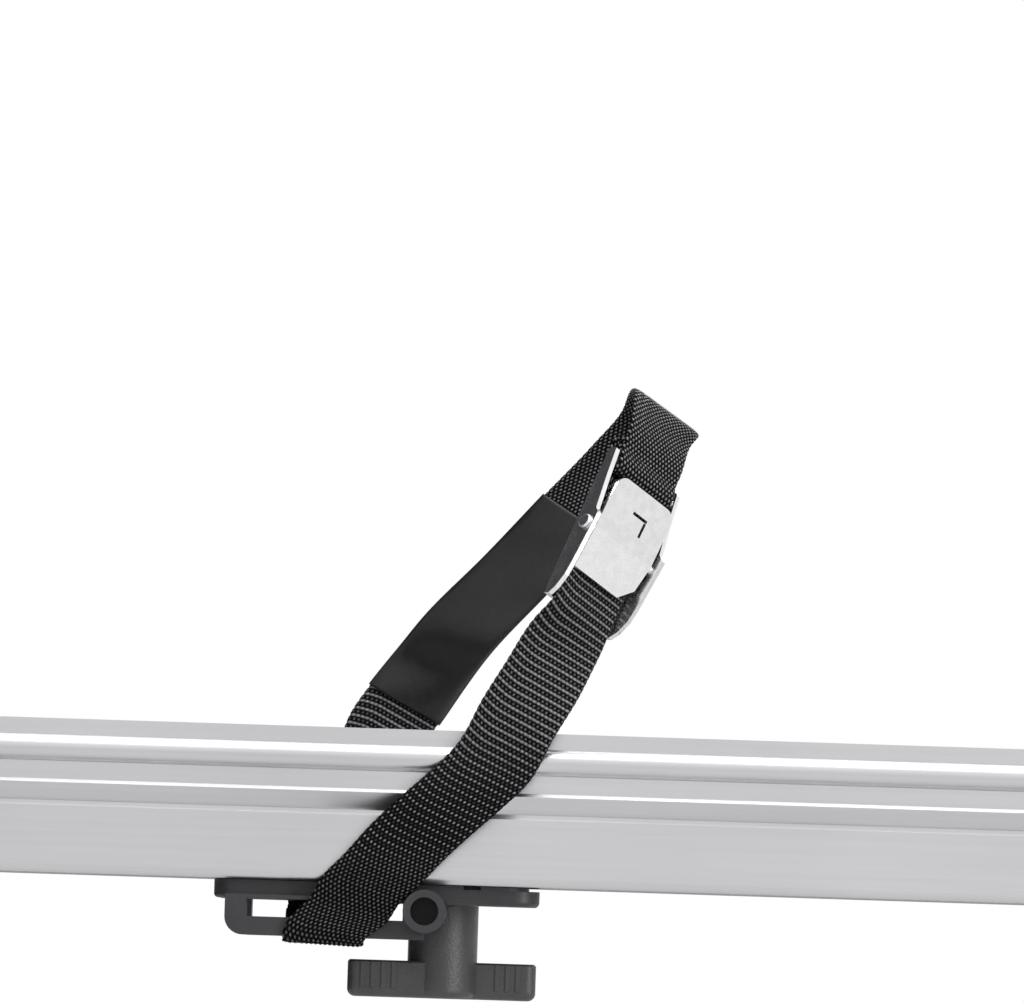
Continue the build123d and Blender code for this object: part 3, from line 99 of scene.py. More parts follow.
def enamelled_iron():
    """Black enamel on cast iron: glossy, over the grain of the mould's sand, with faint wear.

    The grain is drawn 1.5 mm across, as the real one is too fine to show.
    """
    material, tree, surface, place = new_finish("enamelled_cast_iron", IOR=1.5, Roughness=0.32)
    grain = add_node(tree, "ShaderNodeTexNoise", values={"Scale": per_metre(1.5), "Detail": 3.0},
                     links={"Vector": place.outputs["Object"]})
    wear = add_node(tree, "ShaderNodeTexNoise", values={"Scale": per_metre(18), "Detail": 5.0},
                    links={"Vector": place.outputs["Object"]})
    tone = add_node(tree, "ShaderNodeValToRGB", links={"Fac": wear.outputs["Fac"]})
    tone.color_ramp.elements[0].color = linear("#19191A")
    tone.color_ramp.elements[1].color = linear("#2A2A2C")
    bump = add_node(tree, "ShaderNodeBump", values={"Strength": 0.5, "Distance": 0.0003},
                    links={"Height": grain.outputs["Fac"]})
    tree.links.new(tone.outputs["Color"], surface.inputs["Base Color"])
    tree.links.new(bump.outputs["Normal"], surface.inputs["Normal"])
    return material


dress(enamelled_iron(), "coupling_body", "coupling_jaw")

# Coupling lever and its rubber grip. The lever is forged and powder-coated, and the grip is a
# dipped rubber sleeve with a fine matt grain.


def powder_coat(name, dark, light, gloss):
    """Polyester powder on steel: an even colour over the baked film's 2 mm orange peel."""
    material, tree, surface, place = new_finish(name, IOR=1.5, Roughness=gloss)
    peel = add_node(tree, "ShaderNodeTexNoise", values={"Scale": per_metre(2.0), "Detail": 2.0},
                    links={"Vector": place.outputs["Object"]})
    dust = add_node(tree, "ShaderNodeTexNoise", values={"Scale": per_metre(40), "Detail": 6.0},
                    links={"Vector": place.outputs["Object"]})
    tone = add_node(tree, "ShaderNodeValToRGB", links={"Fac": dust.outputs["Fac"]})
    tone.color_ramp.elements[0].color = linear(dark)
    tone.color_ramp.elements[1].color = linear(light)
    bump = add_node(tree, "ShaderNodeBump", values={"Strength": 0.25, "Distance": 0.0002},
                    links={"Height": peel.outputs["Fac"]})
    tree.links.new(tone.outputs["Color"], surface.inputs["Base Color"])
    tree.links.new(bump.outputs["Normal"], surface.inputs["Normal"])
    return material


def zinc_plate(name, dark, light, rough):
    """Bright zinc on steel: a pale, slightly clouded metal whose gloss varies with the cloud.

    Its pits are drawn 0.6 mm across, as the real ones are too fine to show.
    """
    material, tree, surface, place = new_finish(name, Metallic=1.0, Roughness=rough)
    cloud = add_node(tree, "ShaderNodeTexNoise",
                     values={"Scale": per_metre(2.5), "Detail": 6.0, "Roughness": 0.65},
                     links={"Vector": place.outputs["Object"]})
    tone = add_node(tree, "ShaderNodeValToRGB", links={"Fac": cloud.outputs["Fac"]})
    tone.color_ramp.elements[0].position = 0.3
    tone.color_ramp.elements[0].color = linear(dark)
    tone.color_ramp.elements[1].position = 0.7
    tone.color_ramp.elements[1].color = linear(light)
    gloss = add_node(tree, "ShaderNodeMapRange",
                     values={"To Min": rough - 0.06, "To Max": rough + 0.08},
                     links={"Value": cloud.outputs["Fac"]})
    pits = add_node(tree, "ShaderNodeTexNoise", values={"Scale": per_metre(0.6), "Detail": 2.0},
                    links={"Vector": place.outputs["Object"]})
    bump = add_node(tree, "ShaderNodeBump", values={"Strength": 0.12, "Distance": 0.0001},
                    links={"Height": pits.outputs["Fac"]})
    tree.links.new(tone.outputs["Color"], surface.inputs["Base Color"])
    tree.links.new(gloss.outputs["Result"], surface.inputs["Roughness"])
    tree.links.new(bump.outputs["Normal"], surface.inputs["Normal"])
    return material


def matt_rubber():
    """Dipped rubber: near black and matt, with its fine grain drawn 0.8 mm across to show."""
    material, tree, surface, place = new_finish("dipped_rubber", IOR=1.52, Roughness=0.75)
    grain = add_node(tree, "ShaderNodeTexNoise", values={"Scale": per_metre(0.8), "Detail": 4.0},
                     links={"Vector": place.outputs["Object"]})
    tone = add_node(tree, "ShaderNodeValToRGB", links={"Fac": grain.outputs["Fac"]})
    tone.color_ramp.elements[0].color = linear("#131313")
    tone.color_ramp.elements[1].color = linear("#262626")
    bump = add_node(tree, "ShaderNodeBump", values={"Strength": 0.4, "Distance": 0.0003},
                    links={"Height": grain.outputs["Fac"]})
    tree.links.new(tone.outputs["Color"], surface.inputs["Base Color"])
    tree.links.new(bump.outputs["Normal"], surface.inputs["Normal"])
    return material


black_coat = powder_coat("satin_black_powder_coat", "#17171A", "#232326", 0.42)
dress(black_coat, "coupling_lever")
dress(matt_rubber(), "lever_grip")

# Chassis, tilt axle, platform and pedal. They are cut and welded from steel section, blasted and
# coated in the same satin black powder, and pinned and bolted with zinc-plated hardware.
bright_zinc = zinc_plate("zinc_plated_hardware", "#9B9B9E", "#C6C6C8", 0.34)
dress(black_coat, "base_chassis", "platform_frame", "tilt_pedal")
dress(bright_zinc, "coupling_pins", "tilt_axle", "mast_bolts", "rail_bolts")

# Mast and arms. The mast is one bent tube with a dark grey coat, and the arms are drawn aluminium
# tube, anodised, with the faint lines of the die along them.


def anodised_aluminium(name, dark, light, rough):
    """Etched and anodised extrusion: an even satin metal with the lines of the die along X.

    The lines are drawn 1.2 mm apart and the grain of the etch 0.5 mm across, as the real ones are
    too fine to show.
    """
    material, tree, surface, place = new_finish(name, Metallic=1.0, Roughness=rough)
    stretch = add_node(tree, "ShaderNodeMapping", values={"Scale": (0.02, 1.0, 1.0)},
                       links={"Vector": place.outputs["Object"]})
    lines = add_node(tree, "ShaderNodeTexNoise", values={"Scale": per_metre(1.2), "Detail": 4.0},
                     links={"Vector": stretch.outputs["Vector"]})
    cloud = add_node(tree, "ShaderNodeTexNoise", values={"Scale": per_metre(60), "Detail": 3.0},
                     links={"Vector": place.outputs["Object"]})
    both = add_node(tree, "ShaderNodeMix", settings={"data_type": "FLOAT"}, values={"Factor": 0.5},
                    links={"A": lines.outputs["Fac"], "B": cloud.outputs["Fac"]})
    tone = add_node(tree, "ShaderNodeValToRGB", links={"Fac": both.outputs["Result"]})
    tone.color_ramp.elements[0].position = 0.3
    tone.color_ramp.elements[0].color = linear(dark)
    tone.color_ramp.elements[1].position = 0.7
    tone.color_ramp.elements[1].color = linear(light)
    etch = add_node(tree, "ShaderNodeTexNoise", values={"Scale": per_metre(0.5), "Detail": 2.0},
                    links={"Vector": place.outputs["Object"]})
    bump = add_node(tree, "ShaderNodeBump", values={"Strength": 0.06, "Distance": 0.0001},
                    links={"Height": etch.outputs["Fac"]})
    tree.links.new(tone.outputs["Color"], surface.inputs["Base Color"])
    tree.links.new(bump.outputs["Normal"], surface.inputs["Normal"])
    return material


dress(powder_coat("dark_grey_powder_coat", "#2A2A2D", "#38383B", 0.38), "mast_tube")
arm_metal = anodised_aluminium("anodised_tube", "#9A9A9C", "#B0B0B2", 0.36)
dress(arm_metal, "short_arm_tube", "long_arm_tube")

# Claws and clamp knobs: glass-filled polyamide from a spark-eroded mould, whose grain gives the
# dark plastic its fine sparkle under a light.


def moulded_polyamide(name, dark, light, rough, grain_size, depth):
    """Moulded plastic with a cloudy tone and an eroded grain.

    grain_size is how far across the grain's pits are and depth is how deep, in millimetres. Both
    are more than the mould's own, which is too fine to show.
    """
    material, tree, surface, place = new_finish(name, IOR=1.53, Roughness=rough)
    grain = add_node(tree, "ShaderNodeTexNoise",
                     values={"Scale": per_metre(grain_size), "Detail": 3.0, "Roughness": 0.6},
                     links={"Vector": place.outputs["Object"]})
    cloud = add_node(tree, "ShaderNodeTexNoise", values={"Scale": per_metre(9), "Detail": 4.0},
                     links={"Vector": place.outputs["Object"]})
    tone = add_node(tree, "ShaderNodeValToRGB", links={"Fac": cloud.outputs["Fac"]})
    tone.color_ramp.elements[0].position = 0.35
    tone.color_ramp.elements[0].color = linear(dark)
    tone.color_ramp.elements[1].position = 0.65
    tone.color_ramp.elements[1].color = linear(light)
    bump = add_node(tree, "ShaderNodeBump", values={"Strength": 0.6, "Distance": depth / 1000},
                    links={"Height": grain.outputs["Fac"]})
    tree.links.new(tone.outputs["Color"], surface.inputs["Base Color"])
    tree.links.new(bump.outputs["Normal"], surface.inputs["Normal"])
    return material


grained_plastic = moulded_polyamide("spark_grained_polyamide", "#464648", "#525254", rough=0.34,
                                    grain_size=0.55, depth=0.2)
smooth_plastic = moulded_polyamide("fine_grained_polyamide", "#303033", "#3A3A3D", rough=0.42,
                                   grain_size=0.35, depth=0.05)
for arm in ("short_arm", "long_arm"):
    dress(smooth_plastic, f"{arm}_claw", f"{arm}_jaw")
    dress(grained_plastic, f"{arm}_knob")
dress(grained_plastic, "mast_lock_knob")

# Rails: extruded aluminium, etched and clear anodised. They are screwed down to the platform, and
# moulded caps close their ends.
dress(anodised_aluminium("anodised_rail", "#CFCFD1", "#D8D8DA", 0.36), "rail_near", "rail_far")
dress(smooth_plastic, "rail_end_caps")

# Light board: a black moulded shell, black lamp housings, and red lenses with fine optics moulded
# inside.


def lens_plastic():
    """Red acrylic: glossy and partly see-through, with upright ribs 4 mm wide moulded inside."""
    material, tree, surface, place = new_finish("red_moulded_acrylic", IOR=1.49, Roughness=0.08)
    surface.inputs["Transmission Weight"].default_value = 0.35
    optics = add_node(tree, "ShaderNodeTexWave", settings={"bands_direction": "X"},
                      values={"Scale": per_metre(4.0) / (2 * pi)},
                      links={"Vector": place.outputs["Object"]})
    tone = add_node(tree, "ShaderNodeValToRGB", links={"Fac": optics.outputs["Fac"]})
    tone.color_ramp.elements[0].color = linear("#8A0E10")
    tone.color_ramp.elements[1].color = linear("#B4181B")
    tree.links.new(tone.outputs["Color"], surface.inputs["Base Color"])
    return material


dress(smooth_plastic, "light_board", "lamp_housings")
dress(lens_plastic(), "lamp_lenses")

# Strap holders and wing knobs: the holder is a moulded plate with a bail and a tube stub at each
# side, and the knob a coarse-grained moulding round a nut. The T-bolt between them is zinc-plated.
# Each holder is turned about Z by its number of degrees.
holders = {"near_right": 0, "near_left": 180, "far_right": 180, "far_left": 180}
for holder in holders:
    dress(smooth_plastic, f"{holder}_strap_holder")
    dress(grained_plastic, f"{holder}_knob")
    dress(bright_zinc, f"{holder}_t_bolt")

# Cam buckle: frame and lever pressed from 1.2 mm steel strip and barrelled, then bright
# zinc-plated, with a riveted pin.
buckle_zinc = zinc_plate("barrelled_zinc_plate", "#EEEEEF", "#F8F8F9", 0.26)
for holder in holders:
    dress(buckle_zinc, f"{holder}_buckle_frame", f"{holder}_cam_lever", f"{holder}_cam_pin")

# Holder strap: 20 mm polypropylene webbing, woven with a rib across it. It is sewn round the bar of
# its buckle, makes a loop above the rail, goes down behind it, through the bail, and up in front of
# it into the cam. Its sizes are in millimetres.
millimetre = 0.001
webbing_width = 20.0
webbing_half_thickness = 0.55
face_squareness = 10
samples_per_rib = 4
samples_per_yarn = 4

# The weave: how far the high floats join into chains, how high the low floats stand beside them,
# and by how much and where that changes, as heights above the rail's underside.
rib_pitch = 2.05
yarn_pitch = 1.15
relief_height = 0.32
chain_share = 0.8
low_float = 0.6
evening = 0.4
# Beside the rail the chains part into dots and the low floats sink, in the relief and in the
# colour; in the colour the darker band is painted shade.
dots_top, dots_bottom = 36.0, 20.0
dots_fall = 0.5
fold_top, fold_bottom = 10.0, 2.0
fold_rise = 1.5
# Painted shade: the webbing's colour is darkened by this share of the fold under the rail, which
# faces down.
fold_shade = 0.8
loop_bottom, loop_top = 84.0, 90.0
row_sweep = 1.3
sweep_from = 0.35
selvedge_wander = 0.12
selvedge_sharpness = 12

# The route, as its points and the directions of the weave's rows. The webbing lies this far from
# the rail's middle in front of the rail's flange and of its body, and the buckle has its own axes.
flange_v = 41.0
body_v = 37.5
buckle_along = np.array((0.36, 0.29, 0.887))
buckle_along /= np.linalg.norm(buckle_along)
buckle_row = np.array((0.679, 0.574, -0.458))
buckle_row -= buckle_along * buckle_row.dot(buckle_along)
buckle_row /= np.linalg.norm(buckle_row)
buckle_out = np.cross(buckle_row, buckle_along)
buckle_middle = np.array((37.5, -27.4, 85.0)) + buckle_out


def buckle_point(y, z):
    """A point on the buckle's middle line: y along the strap and z outwards, in millimetres."""
    return buckle_middle + buckle_along * y + buckle_out * z


def row_slope(degrees_down, back=0.0):
    """Unit direction of a row that falls to the right by this angle and runs back by this share."""
    row = np.array((cos(radians(degrees_down)), back, -sin(radians(degrees_down))))
    return row / np.linalg.norm(row)


bar_y, bar_z = 18.8, 0.9
loop_r = 2.15
layer = 0.775
sewn_end = bar_y + 3.2 * loop_r
tail_z = -2.8
webbing_z = 0.85
buckle_reach = 19.9
plate_top_y = 13.5
bail_bar_y, bail_bar_z, bail_bend_r = -34.0, -13.8, 1.4
route = [(buckle_point(sewn_end, bar_z - layer), buckle_row),
         (buckle_point(bar_y + 2 * loop_r, bar_z - layer), buckle_row)]
for turn in (-10, 20, 55, 90, 125, 160, 190):
    around = radians(turn)
    route.append((buckle_point(bar_y - loop_r * sin(around), bar_z - loop_r * cos(around)),
                  buckle_row))
route += [
    (buckle_point(bar_y + 2 * loop_r, bar_z + layer), buckle_row),
    (buckle_point(sewn_end, bar_z + layer), buckle_row),
    (np.array((50.6, -13.5, 116.6)), row_slope(34, 0.53)),
    (np.array((51.6, -8.5, 119.3)), row_slope(34, 0.27)),
    (np.array((51.2, 0.0, 120.2)), row_slope(34)),
    (np.array((50.2, 8.5, 119.3)), row_slope(34, -0.2)),
    (np.array((48.6, 13.5, 116.3)), row_slope(34, -0.4)),
    (np.array((41.0, 18.0, 107.5)), row_slope(34, -0.5)),
    (np.array((29.5, 22.5, 95.0)), row_slope(33, -0.5)),
    (np.array((15.0, 27.0, 79.0)), row_slope(31, -0.5)),
    (np.array((1.3, 31.0, 64.2)), row_slope(30, -0.4)),
    (np.array((-6.0, flange_v - 3.0, 54.5)), row_slope(30, -0.3)),
    (np.array((-12.0, flange_v, 46.0)), row_slope(29, -0.1)),
    (np.array((-16.5, flange_v, 39.0)), row_slope(27)),
    (np.array((-19.5, flange_v, 30.8)), row_slope(25)),
    (np.array((-24.0, flange_v, 19.2)), row_slope(22)),
    (np.array((-27.0, body_v + 1.0, 10.0)), row_slope(16)),
    (np.array((-28.7, body_v + 0.9, 1.0)), row_slope(8)),
    (np.array((-29.6, 36.0, -2.75)), row_slope(0)),
    (np.array((-29.7, 35.4, -5.05)), row_slope(0)),
    (np.array((-29.8, 34.0, -6.98)), row_slope(0)),
    (np.array((-29.8, 31.0, -6.98)), row_slope(0)),
    (np.array((-29.8, 20.0, -6.98)), row_slope(0)),
    (np.array((-29.7, 8.0, -9.89)), row_slope(0)),
    (np.array((-29.6, -8.0, -13.8)), row_slope(0)),
    (np.array((-29.6, -20.0, -14.8)), row_slope(0)),
    (np.array((-29.5, -33.0, -14.8)), row_slope(0)),
]
for turn in (80, 45, 10):
    around = radians(turn)
    route.append((np.array((-29.4, bail_bar_y - bail_bend_r * cos(around),
                            bail_bar_z - bail_bend_r * sin(around))), row_slope(6 - turn / 20)))
route += [
    (np.array((-23.1, -36.2, -6.5)), row_slope(16)),
    (np.array((-20.1, -37.9, -1.5)), row_slope(19)),
    (np.array((-16.1, -38.7, 2.5)), row_slope(21)),
    (np.array((-9.0, -39.4, 10.5)), row_slope(24)),
    (np.array((-2.6, -flange_v, 16.8)), row_slope(25)),
    (np.array((3.8, -flange_v, 22.7)), row_slope(25)),
    (np.array((11.5, -flange_v, 30.8)), row_slope(26)),
    (np.array((17.0, -flange_v, 41.5)), row_slope(27)),
    (np.array((22.5, -flange_v + 2.4, 51.0)), row_slope(28, 0.12)),
    (np.array((27.5, -flange_v + 5.6, 60.5)), row_slope(30, 0.35)),
    (buckle_point(-buckle_reach, webbing_z + 0.3), buckle_row),
    (buckle_point(-buckle_reach / 2, webbing_z), buckle_row),
    (buckle_point(plate_top_y, webbing_z), buckle_row),
    (buckle_point(plate_top_y + 0.7, webbing_z / 2), buckle_row),
    (buckle_point(bar_y - 1.5 * loop_r, tail_z + 1.4), buckle_row),
    (buckle_point(bar_y, tail_z), buckle_row),
    (buckle_point(sewn_end, tail_z), buckle_row),
]


def along_route(stations, spacing):
    """Arrays of points, row directions, normals and distances along a curve through stations.

    Between two stations each value is a cubic, whose slope at a station is worked out from the
    chords to its two neighbours. It is read every spacing millimetres.
    """
    points = np.array([np.concatenate((point, row)) for point, row in stations])
    steps = np.linalg.norm(np.diff(points[:, :3], axis=0), axis=1)
    knots = np.concatenate(([0.0], np.cumsum(steps)))
    slopes = np.gradient(points, knots, axis=0)
    fine_steps = 8
    fine = np.linspace(0.0, knots[-1], int(knots[-1] / spacing) * fine_steps)
    index = np.clip(np.searchsorted(knots, fine, side="right") - 1, 0, len(steps) - 1)
    width = steps[index][:, None]
    share = ((fine - knots[index]) / steps[index])[:, None]
    curve = ((2 * share**3 - 3 * share**2 + 1) * points[index]
             + (share**3 - 2 * share**2 + share) * width * slopes[index]
             + (3 * share**2 - 2 * share**3) * points[index + 1]
             + (share**3 - share**2) * width * slopes[index + 1])
    pieces = np.linalg.norm(np.diff(curve[:, :3], axis=0), axis=1)
    length = np.concatenate(([0.0], np.cumsum(pieces)))
    even = np.linspace(0.0, length[-1], int(length[-1] / spacing) + 1)
    smooth = np.stack([np.interp(even, length, curve[:, column]) for column in range(6)], axis=1)
    rows = smooth[:, 3:] / np.linalg.norm(smooth[:, 3:], axis=1, keepdims=True)
    tangents = np.gradient(smooth[:, :3], even, axis=0)
    normals = np.cross(rows, tangents)
    normals /= np.linalg.norm(normals, axis=1, keepdims=True)
    return smooth[:, :3], rows, normals, even


def closed_band(name, surface, uv):
    """A mesh from a grid of points that closes on itself across, with one flat face at each end.

    surface is rings x columns x 3, and uv is rings x (columns + 1) x 2, so the pattern has a seam.
    """
    rings, columns = surface.shape[:2]
    ring, column = np.meshgrid(np.arange(rings - 1), np.arange(columns), indexing="ij")
    beside = (column + 1) % columns
    after = ring + 1
    quads = np.stack((ring * columns + column, ring * columns + beside, after * columns + beside,
                      after * columns + column), axis=-1).reshape(-1, 4)
    ends = [list(range(columns - 1, -1, -1)), list(range((rings - 1) * columns, rings * columns))]
    mesh = bpy.data.meshes.new(name)
    mesh.from_pydata(surface.reshape(-1, 3).tolist(), [], quads.tolist() + ends)
    corners = np.stack((uv[ring, column], uv[ring, column + 1], uv[after, column + 1],
                        uv[after, column]), axis=2).reshape(-1, 2)
    flat = np.concatenate((corners, np.zeros((2 * columns, 2))))
    mesh.uv_layers.new(name="weave").data.foreach_set("uv", flat.ravel())
    mesh.polygons.foreach_set("use_smooth", np.ones(len(quads) + 2, dtype=bool))
    mesh.update()
    piece = bpy.data.objects.new(name, mesh)
    bpy.context.scene.collection.objects.link(piece)
    return piece


def stand(points, holder):
    """Points in a strap holder's own millimetres as metres on the carrier.

    They are turned about Z and moved to the holder's T-bolt, at the height of the rail's underside.
    """
    low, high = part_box(f"{holder}_t_bolt")
    rail_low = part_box("rail_near" if holder.startswith("near") else "rail_far")[0]
    turn = radians(holders[holder])
    x, y, z = points[..., 0], points[..., 1], points[..., 2]
    turned = np.stack((x * cos(turn) - y * sin(turn), x * sin(turn) + y * cos(turn), z), axis=-1)
    origin = np.array(((low[0] + high[0]) / 2, (low[1] + high[1]) / 2, rail_low[2]))
    return turned * millimetre + origin


def webbing_surface():
    """Grid of the webbing and its UV map, in millimetres about the holder's point.

    Across each face the thickness is the square root of 1 - |2t / width| ** squareness, so the
    selvedges are round. With c = cos(2 pi s / rib) and y = cos(2 pi t / yarn), the weave stands on
    it as max(0, c) * (share + (1 - share) * y) for the chains of high floats, plus
    low * max(0, -c) * (1 - y) / 2 for the low floats between them. Beside the rail the chains part
    into dots: share falls there, and low falls by half as much. Low rises again in the fold under
    the rail, until the rows are even, and in the top of the loop share falls and low rises.
    Towards the left selvedge the rows sweep up the strap with the square of their way past
    sweep_from. The loop's inner face has half as many points across.
    """
    points, rows, normals, distance = along_route(route, rib_pitch / samples_per_rib)
    columns = int(webbing_width / yarn_pitch * samples_per_yarn)
    across = np.concatenate([(np.arange(count) / (count - 1) - 0.5) * webbing_width * turn
                             for count, turn in ((columns, 1), (columns // 2, -1))])
    side = np.repeat((1.0, -1.0), (columns, columns // 2))
    s = distance[:, None]
    t = across[None, :]
    full = np.sqrt(np.clip(1 - np.abs(2 * t / webbing_width) ** face_squareness, 0.0, 1.0))
    past = np.clip(-2 * t / webbing_width - sweep_from, 0, 1) / (1 - sweep_from)
    swept = (s - row_sweep * past**2) / rib_pitch
    rib = np.cos(2 * pi * swept) * side
    yarn = np.cos(2 * pi * t / yarn_pitch)
    z = points[:, 2:]
    dots = evening * np.interp(z, (dots_bottom, dots_top), (1, 0))
    fold = evening * np.interp(z, (fold_bottom, fold_top), (1, 0))
    loop = evening * np.interp(z, (loop_bottom, loop_top), (0, 1))
    share = chain_share - dots - loop
    low = low_float + fold_rise * fold - dots_fall * dots + loop
    weave = (np.clip(rib, 0, 1) * (share + (1 - share) * yarn)
             + low * np.clip(-rib, 0, 1) * (1 - yarn) / 2)
    height = side * full * (webbing_half_thickness + relief_height * (weave - low_float) * full)
    wander = (selvedge_wander * np.sin(2 * pi * s / rib_pitch + side)
              * np.abs(2 * t / webbing_width) ** selvedge_sharpness)
    reach = t * (1 + 2 * wander / webbing_width)
    surface = (points[:, None, :] + rows[:, None, :] * reach[..., None]
               + normals[:, None, :] * height[..., None])
    u = np.concatenate((across, across[:1])) / yarn_pitch
    uv = np.stack(np.broadcast_arrays(u[None, :], np.hstack((swept, swept[:, :1]))), axis=-1)
    return surface, uv


def webbing_polypropylene():
    """Spun-dyed polypropylene yarn: black, with floats that shine in a light and matt gaps. Its
    colour has painted highlights on the floats' tops and painted shade in the gaps and in the fold.

    The weave is worked out as in webbing_surface, from the UV map, which counts yarns and ribs. A
    noise about half a yarn across stands for the filaments, which are too fine to show.
    """
    material, tree, surface, place = new_finish("woven_polypropylene", IOR=1.49)
    split = add_node(tree, "ShaderNodeSeparateXYZ", links={"Vector": place.outputs["UV"]})
    height = add_node(tree, "ShaderNodeSeparateXYZ", links={"Vector": place.outputs["Object"]})
    filament = add_node(tree, "ShaderNodeTexNoise", settings={"noise_dimensions": "2D"},
                        values={"Scale": 2.2, "Detail": 3.0}, links={"Vector": place.outputs["UV"]})
    step = {"yarns": split.outputs["X"], "ribs": split.outputs["Y"],
            "filament": filament.outputs["Fac"]}

    # Each of these rises from 0 to evening between two heights above the rail's underside.
    rail_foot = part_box("rail_near")[0][2]
    for name, from_height, to_height in (("fold", fold_top, fold_bottom),
                                         ("loop", loop_bottom, loop_top),
                                         ("dots", dots_top, dots_bottom)):
        ramp = add_node(tree, "ShaderNodeMapRange",
                        values={"From Min": rail_foot + from_height * millimetre,
                                "From Max": rail_foot + to_height * millimetre,
                                "To Max": evening}, links={"Value": height.outputs["Z"]})
        step[name] = ramp.outputs["Result"]

    # Each row is a step of the sum: its name, what it does, and its numbers or earlier steps.
    for name, operation, *terms in (
            ("no_loop", "SUBTRACT", chain_share, "loop"),
            ("share", "SUBTRACT", "no_loop", "dots"),
            ("low_in_loop", "ADD", "loop", low_float),
            ("low_in_dots", "MULTIPLY_ADD", "dots", -dots_fall, "low_in_loop"),
            ("low_share", "MULTIPLY_ADD", "fold", fold_rise, "low_in_dots"),
            ("yarn_angle", "MULTIPLY", "yarns", 2 * pi),
            ("yarn", "COSINE", "yarn_angle"),
            ("rib_angle", "MULTIPLY", "ribs", 2 * pi),
            ("rib", "COSINE", "rib_angle"),
            ("other_yarn", "SUBTRACT", 1.0, "yarn"),
            ("high_rib", "MAXIMUM", "rib", 0.0),
            ("chain", "MULTIPLY_ADD", "share", "other_yarn", "yarn"),
            ("high", "MULTIPLY", "high_rib", "chain"),
            ("half_rib", "MULTIPLY", "rib", -0.5),
            ("low_rib", "MAXIMUM", "half_rib", 0.0),
            ("low_yarn", "MULTIPLY", "other_yarn", "low_share"),
            ("low", "MULTIPLY", "low_rib", "low_yarn"),
            ("weave", "ADD", "high", "low"),
            ("bright", "MULTIPLY_ADD", "filament", 1.1, 0.45),
            # Painted shade: the colour is darker in the fold under the rail, which faces down.
            ("fold_painted_shade", "MULTIPLY_ADD", "fold", -fold_shade, 1.0),
            ("shine", "MULTIPLY", "bright", "fold_painted_shade"),
            ("uneven", "MULTIPLY", "weave", "shine")):
        numbers = {slot: term for slot, term in enumerate(terms) if not isinstance(term, str)}
        sources = {slot: step[term] for slot, term in enumerate(terms) if isinstance(term, str)}
        step[name] = add_node(tree, "ShaderNodeMath", settings={"operation": operation},
                              values=numbers, links=sources).outputs[0]
    # Painted highlight and painted shade: the colour runs from near black in the gaps to light grey
    # on the floats' tops.
    tone = add_node(tree, "ShaderNodeValToRGB", links={"Fac": step["uneven"]})
    tone.color_ramp.elements[0].position = 0.12
    tone.color_ramp.elements[0].color = linear("#0B0B0C")
    tone.color_ramp.elements[1].position = 1.0
    tone.color_ramp.elements[1].color = linear("#9A9A9C")
    middle = tone.color_ramp.elements.new(0.42)
    middle.color = linear("#343436")
    gloss = add_node(tree, "ShaderNodeMapRange",
                     values={"From Min": 0.25, "From Max": 0.7, "To Min": 1.0, "To Max": 0.34},
                     links={"Value": step["uneven"]})
    # Painted shade: the reflection is tinted out in the gaps between the floats and kept on their
    # tops.
    shade = add_node(tree, "ShaderNodeMapRange", values={"From Min": -0.1, "From Max": 0.6},
                     links={"Value": step["uneven"]})
    tree.links.new(shade.outputs["Result"], surface.inputs["Specular Tint"])
    tree.links.new(gloss.outputs["Result"], surface.inputs["Roughness"])
    bump = add_node(tree, "ShaderNodeBump", values={"Strength": 0.8, "Distance": 0.00022},
                    links={"Height": step["uneven"]})
    tree.links.new(tone.outputs["Color"], surface.inputs["Base Color"])
    tree.links.new(bump.outputs["Normal"], surface.inputs["Normal"])
    return material


webbing_finish = webbing_polypropylene()
webbing_grid, webbing_uv = webbing_surface()
for holder in holders:
    webbing = closed_band(f"{holder}_webbing", stand(webbing_grid, holder), webbing_uv)
    webbing.data.materials.append(webbing_finish)
    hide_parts(f"{holder}_strap")
    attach(webbing, f"{holder}_holder")

# Sleeve: a flat tube of soft black plastic slid over the strap, so that it doesn't scratch what it
# holds. It lies slack on the webbing, with shallow creases across it. Its sizes are in
# millimetres, and it covers the stations of the route from its first to its last.
sleeve_first, sleeve_last = 17, 21
sleeve_clearance = 0.05
sleeve_wall = 0.5
sleeve_columns = 96
sleeve_spacing = 0.8
crease_height = 0.25
crease_along, crease_across = 3.1, 5.0


def sleeve_surface():
    """Grid of the sleeve: out along its outside and back along its inside.

    The section is a superellipse |t / a| ** 4 + |z / b| ** 2 = 1 about the webbing. The outside has
    creases on its flat faces, as the sine of s / crease_along + t / crease_across.
    """
    stations = route[sleeve_first:sleeve_last + 1]
    points, rows, normals, distance = along_route(stations, sleeve_spacing)
    turn = np.linspace(0.0, 2 * pi, sleeve_columns, endpoint=False)
    shells = []
    for grow in (sleeve_wall + sleeve_clearance, sleeve_clearance):
        half_width = webbing_width / 2 + grow
        half_height = webbing_half_thickness + relief_height / 2 + grow
        t = half_width * np.sign(np.cos(turn)) * np.abs(np.cos(turn)) ** 0.5
        z = half_height * np.sin(turn)
        crease = crease_height * (grow > sleeve_clearance) * (
            np.sin(distance[:, None] / crease_along + t[None, :] / crease_across)
            * np.sin(turn)[None, :] ** 2)
        offset = z[None, :] + crease * np.sign(z)[None, :]
        shells.append(points[:, None, :] + rows[:, None, :] * t[None, :, None]
                      + normals[:, None, :] * offset[..., None])
    return np.concatenate((shells[0], shells[1][::-1], shells[0][:1]))


